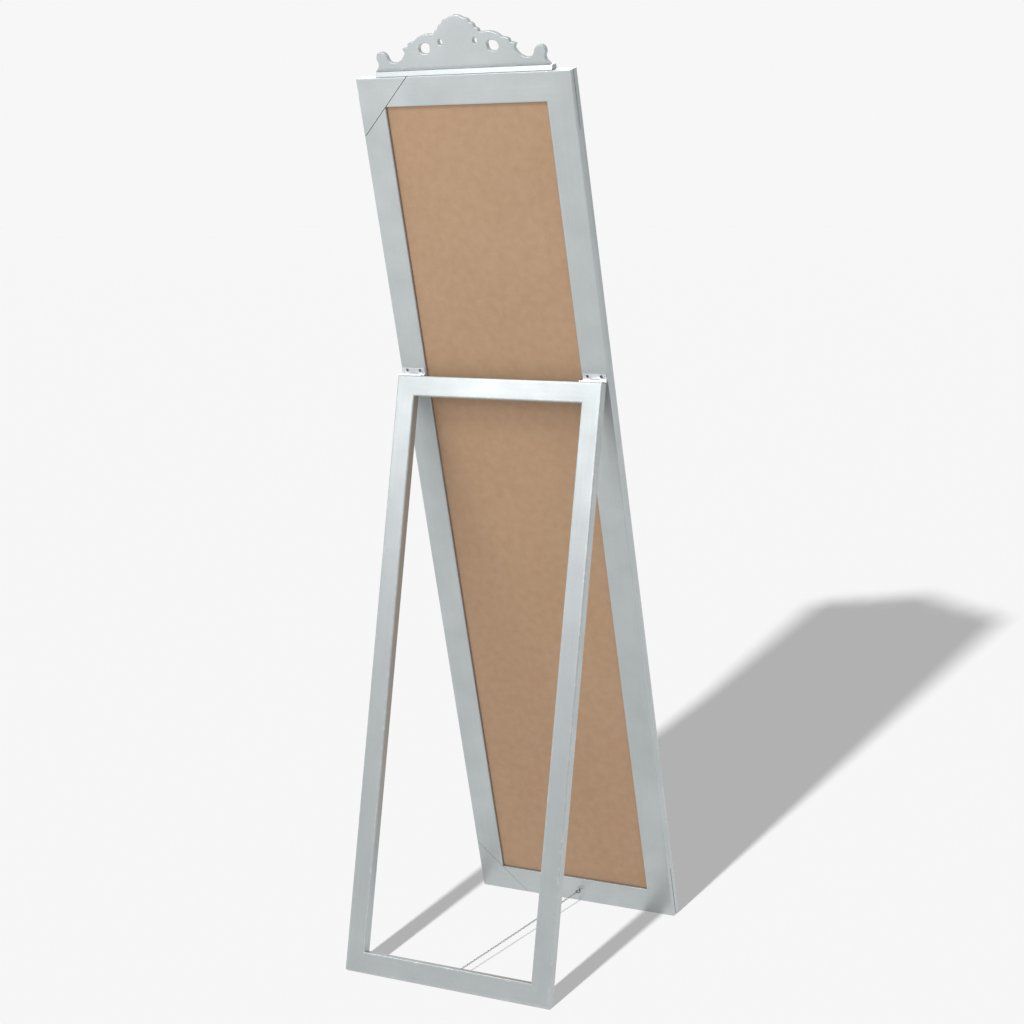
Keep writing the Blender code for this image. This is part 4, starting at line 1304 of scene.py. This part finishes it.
def flat_wires(paths, normals, radii, sides, closed):
    """Points centre + r (cos f across + sin f normal) for (wire, step, side), and their faces."""
    ahead = np.roll(paths, -1, axis=1) - np.roll(paths, 1, axis=1)
    if not closed:
        ahead[:, 0] = paths[:, 1] - paths[:, 0]
        ahead[:, -1] = paths[:, -1] - paths[:, -2]
    ahead /= np.linalg.norm(ahead, axis=-1, keepdims=True)
    normals = np.broadcast_to(normals[:, None], ahead.shape)
    across = np.cross(normals, ahead)
    f = np.linspace(0, 2 * math.pi, sides, endpoint=False)[:, None]
    ring = np.cos(f) * across[:, :, None] + np.sin(f) * normals[:, :, None]
    points = paths[:, :, None] + np.asarray(radii)[:, None, None] * ring
    wires, steps = paths.shape[:2]
    faces = grid_faces(steps, sides, close_rows=closed, close_columns=True)
    shift = np.arange(wires)[:, None, None] * steps * sides
    return points.reshape(-1, 3), (faces + shift).reshape(-1, 4)


def eye_wire():
    """Shank, bend and ring in a plane: x sideways, y out of the wood."""
    ring = arc((0, EYE_STANDOFF), EYE_RADIUS, -66, 254, 30)
    shank = np.array(((0, -6.3), (0, -6), (0, 0.2), (0.1, 1.0), (0.35, 1.75), (0.85, 2.4)))
    tip = ring[-1] + (ring[-1] - ring[-2]) * 0.3
    path = np.vstack((shank, ring, tip))
    path = np.column_stack((path, np.zeros(len(path))))[None]
    radii = np.full(path.shape[1], EYE_WIRE)
    radii[0] = radii[-1] = 0.02
    return flat_wires(path, np.array(((0.0, 0.0, 1.0),)), radii, 12, closed=False)


points, faces = eye_wire()
mirror_spot = np.array((-9.0, 0.0, MEMBER / 2))
stand_spot = np.array((3.0, STAND_FRONT, STAND_BOTTOM + BAR / 2))
facing_mirror = points * (1, -1, 1)
for body, placed in (
    ("mirror", on_mirror(points + mirror_spot)),
    ("stand", on_stand(facing_mirror + stand_spot)),
):
    make_piece(
        f"eye_on_{body}",
        placed,
        faces,
        as_it_is,
        body,
        "zinc_plated_steel",
        (f"screw_eye_{body}",),
        weld=True,
        angle=60,
        material=steel,
    )
print("eye faces:", len(faces))

# %% [markdown]
# The chain is nearly taut when the stand is open, so its links lie along a line with hardly any sag.
# When the stand folds, both ends come together, and every link has to turn about the hinge by its
# own share of the angle, which is its share of the way along. So the chain is made in short
# stretches, each a piece of its own, shortest at the two ends.

# %% Chain
LINKS = 77
LINK_PITCH = 5.678
LINK_LENGTH = 6.578
LINK_HALF_WIDTH = 1.35
LINK_WIRE = 0.45
CHAIN_SAG = 0.5
STRETCH_ENDS = (0, 0.026, 0.09, 0.25, 0.5, 0.75, 0.91, 0.974, 1)
from_eye = on_mirror((mirror_spot + (0, EYE_STANDOFF, 0))[None])[0]
to_eye = on_stand((stand_spot - (0, EYE_STANDOFF, 0))[None])[0]


def link_path():
    """An oval centreline: two half circles of the half width joined by straight sides."""
    straight = LINK_LENGTH / 2 - LINK_HALF_WIDTH
    one_end = arc((straight, 0), LINK_HALF_WIDTH, -90, 90, 6)
    return np.vstack((one_end, one_end * -1))


def chain_links():
    """Link centres lie evenly on the line between the eyes, dropped by 4 sag t (1 - t)."""
    span = (to_eye - from_eye) / MM
    t = 0.5 + (np.arange(LINKS) - (LINKS - 1) / 2) * LINK_PITCH / np.linalg.norm(span)
    up = np.array((0.0, 0.0, 1.0))
    centres = from_eye / MM + t[:, None] * span - 4 * CHAIN_SAG * (t * (1 - t))[:, None] * up
    ahead = span - (4 * CHAIN_SAG * (1 - 2 * t))[:, None] * up
    ahead /= np.linalg.norm(ahead, axis=1, keepdims=True)
    level = np.cross(ahead, up)
    level /= np.linalg.norm(level, axis=1, keepdims=True)
    upright = np.cross(level, ahead)
    odd = (np.arange(LINKS) % 2 == 1)[:, None]
    sideways = np.where(odd, level, upright)
    u, v = link_path().T
    paths = centres[:, None] + u[:, None] * ahead[:, None] + v[:, None] * sideways[:, None]
    return flat_wires(paths, np.cross(ahead, sideways), np.full(len(u), LINK_WIRE), 6, closed=True)


points, faces = chain_links()
placed = points.reshape(LINKS, -1, 3) * MM
faces_per_link = len(faces) // LINKS
stretches = np.round(np.array(STRETCH_ENDS) * LINKS).astype(int)
span = to_eye - from_eye
for number, (first, last) in enumerate(zip(stretches, stretches[1:])):
    stretch = make_piece(
        f"chain_stretch_{number + 1}",
        placed[first:last].reshape(-1, 3),
        faces[: faces_per_link * (last - first)],
        as_it_is,
        None,
        "chain_steel",
        () if number else ("check_chain",),
        weld=True,
        angle=70,
    )
    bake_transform(stretch)
eye_to_eye = round(np.linalg.norm(span), 4)
print("chain faces:", len(faces), "eye to eye:", eye_to_eye, "m in", number + 1, "stretches")

# %% [markdown]
# Two softboxes were left for now, because each spares one piece, and light linking needs to know it.
# The top one whitens the frame's upper face, but it would burn out the crest's edges. The low one
# lights the leaning back from below, where a matt white studio floor would send light up at it, and
# spares the stand, which leans the other way and has enough.

# %% Softboxes that spare a piece
softbox("top_softbox", (0.9, -0.9, 2.8), (0, 0.2, 1.5), 1.6, 0.9, 18, [crest])
softbox("low_softbox", (1.0, 1.9, 0.7), (0, 0.3, 1.45), 0.9, 0.6, 1.5, [stand_frame])
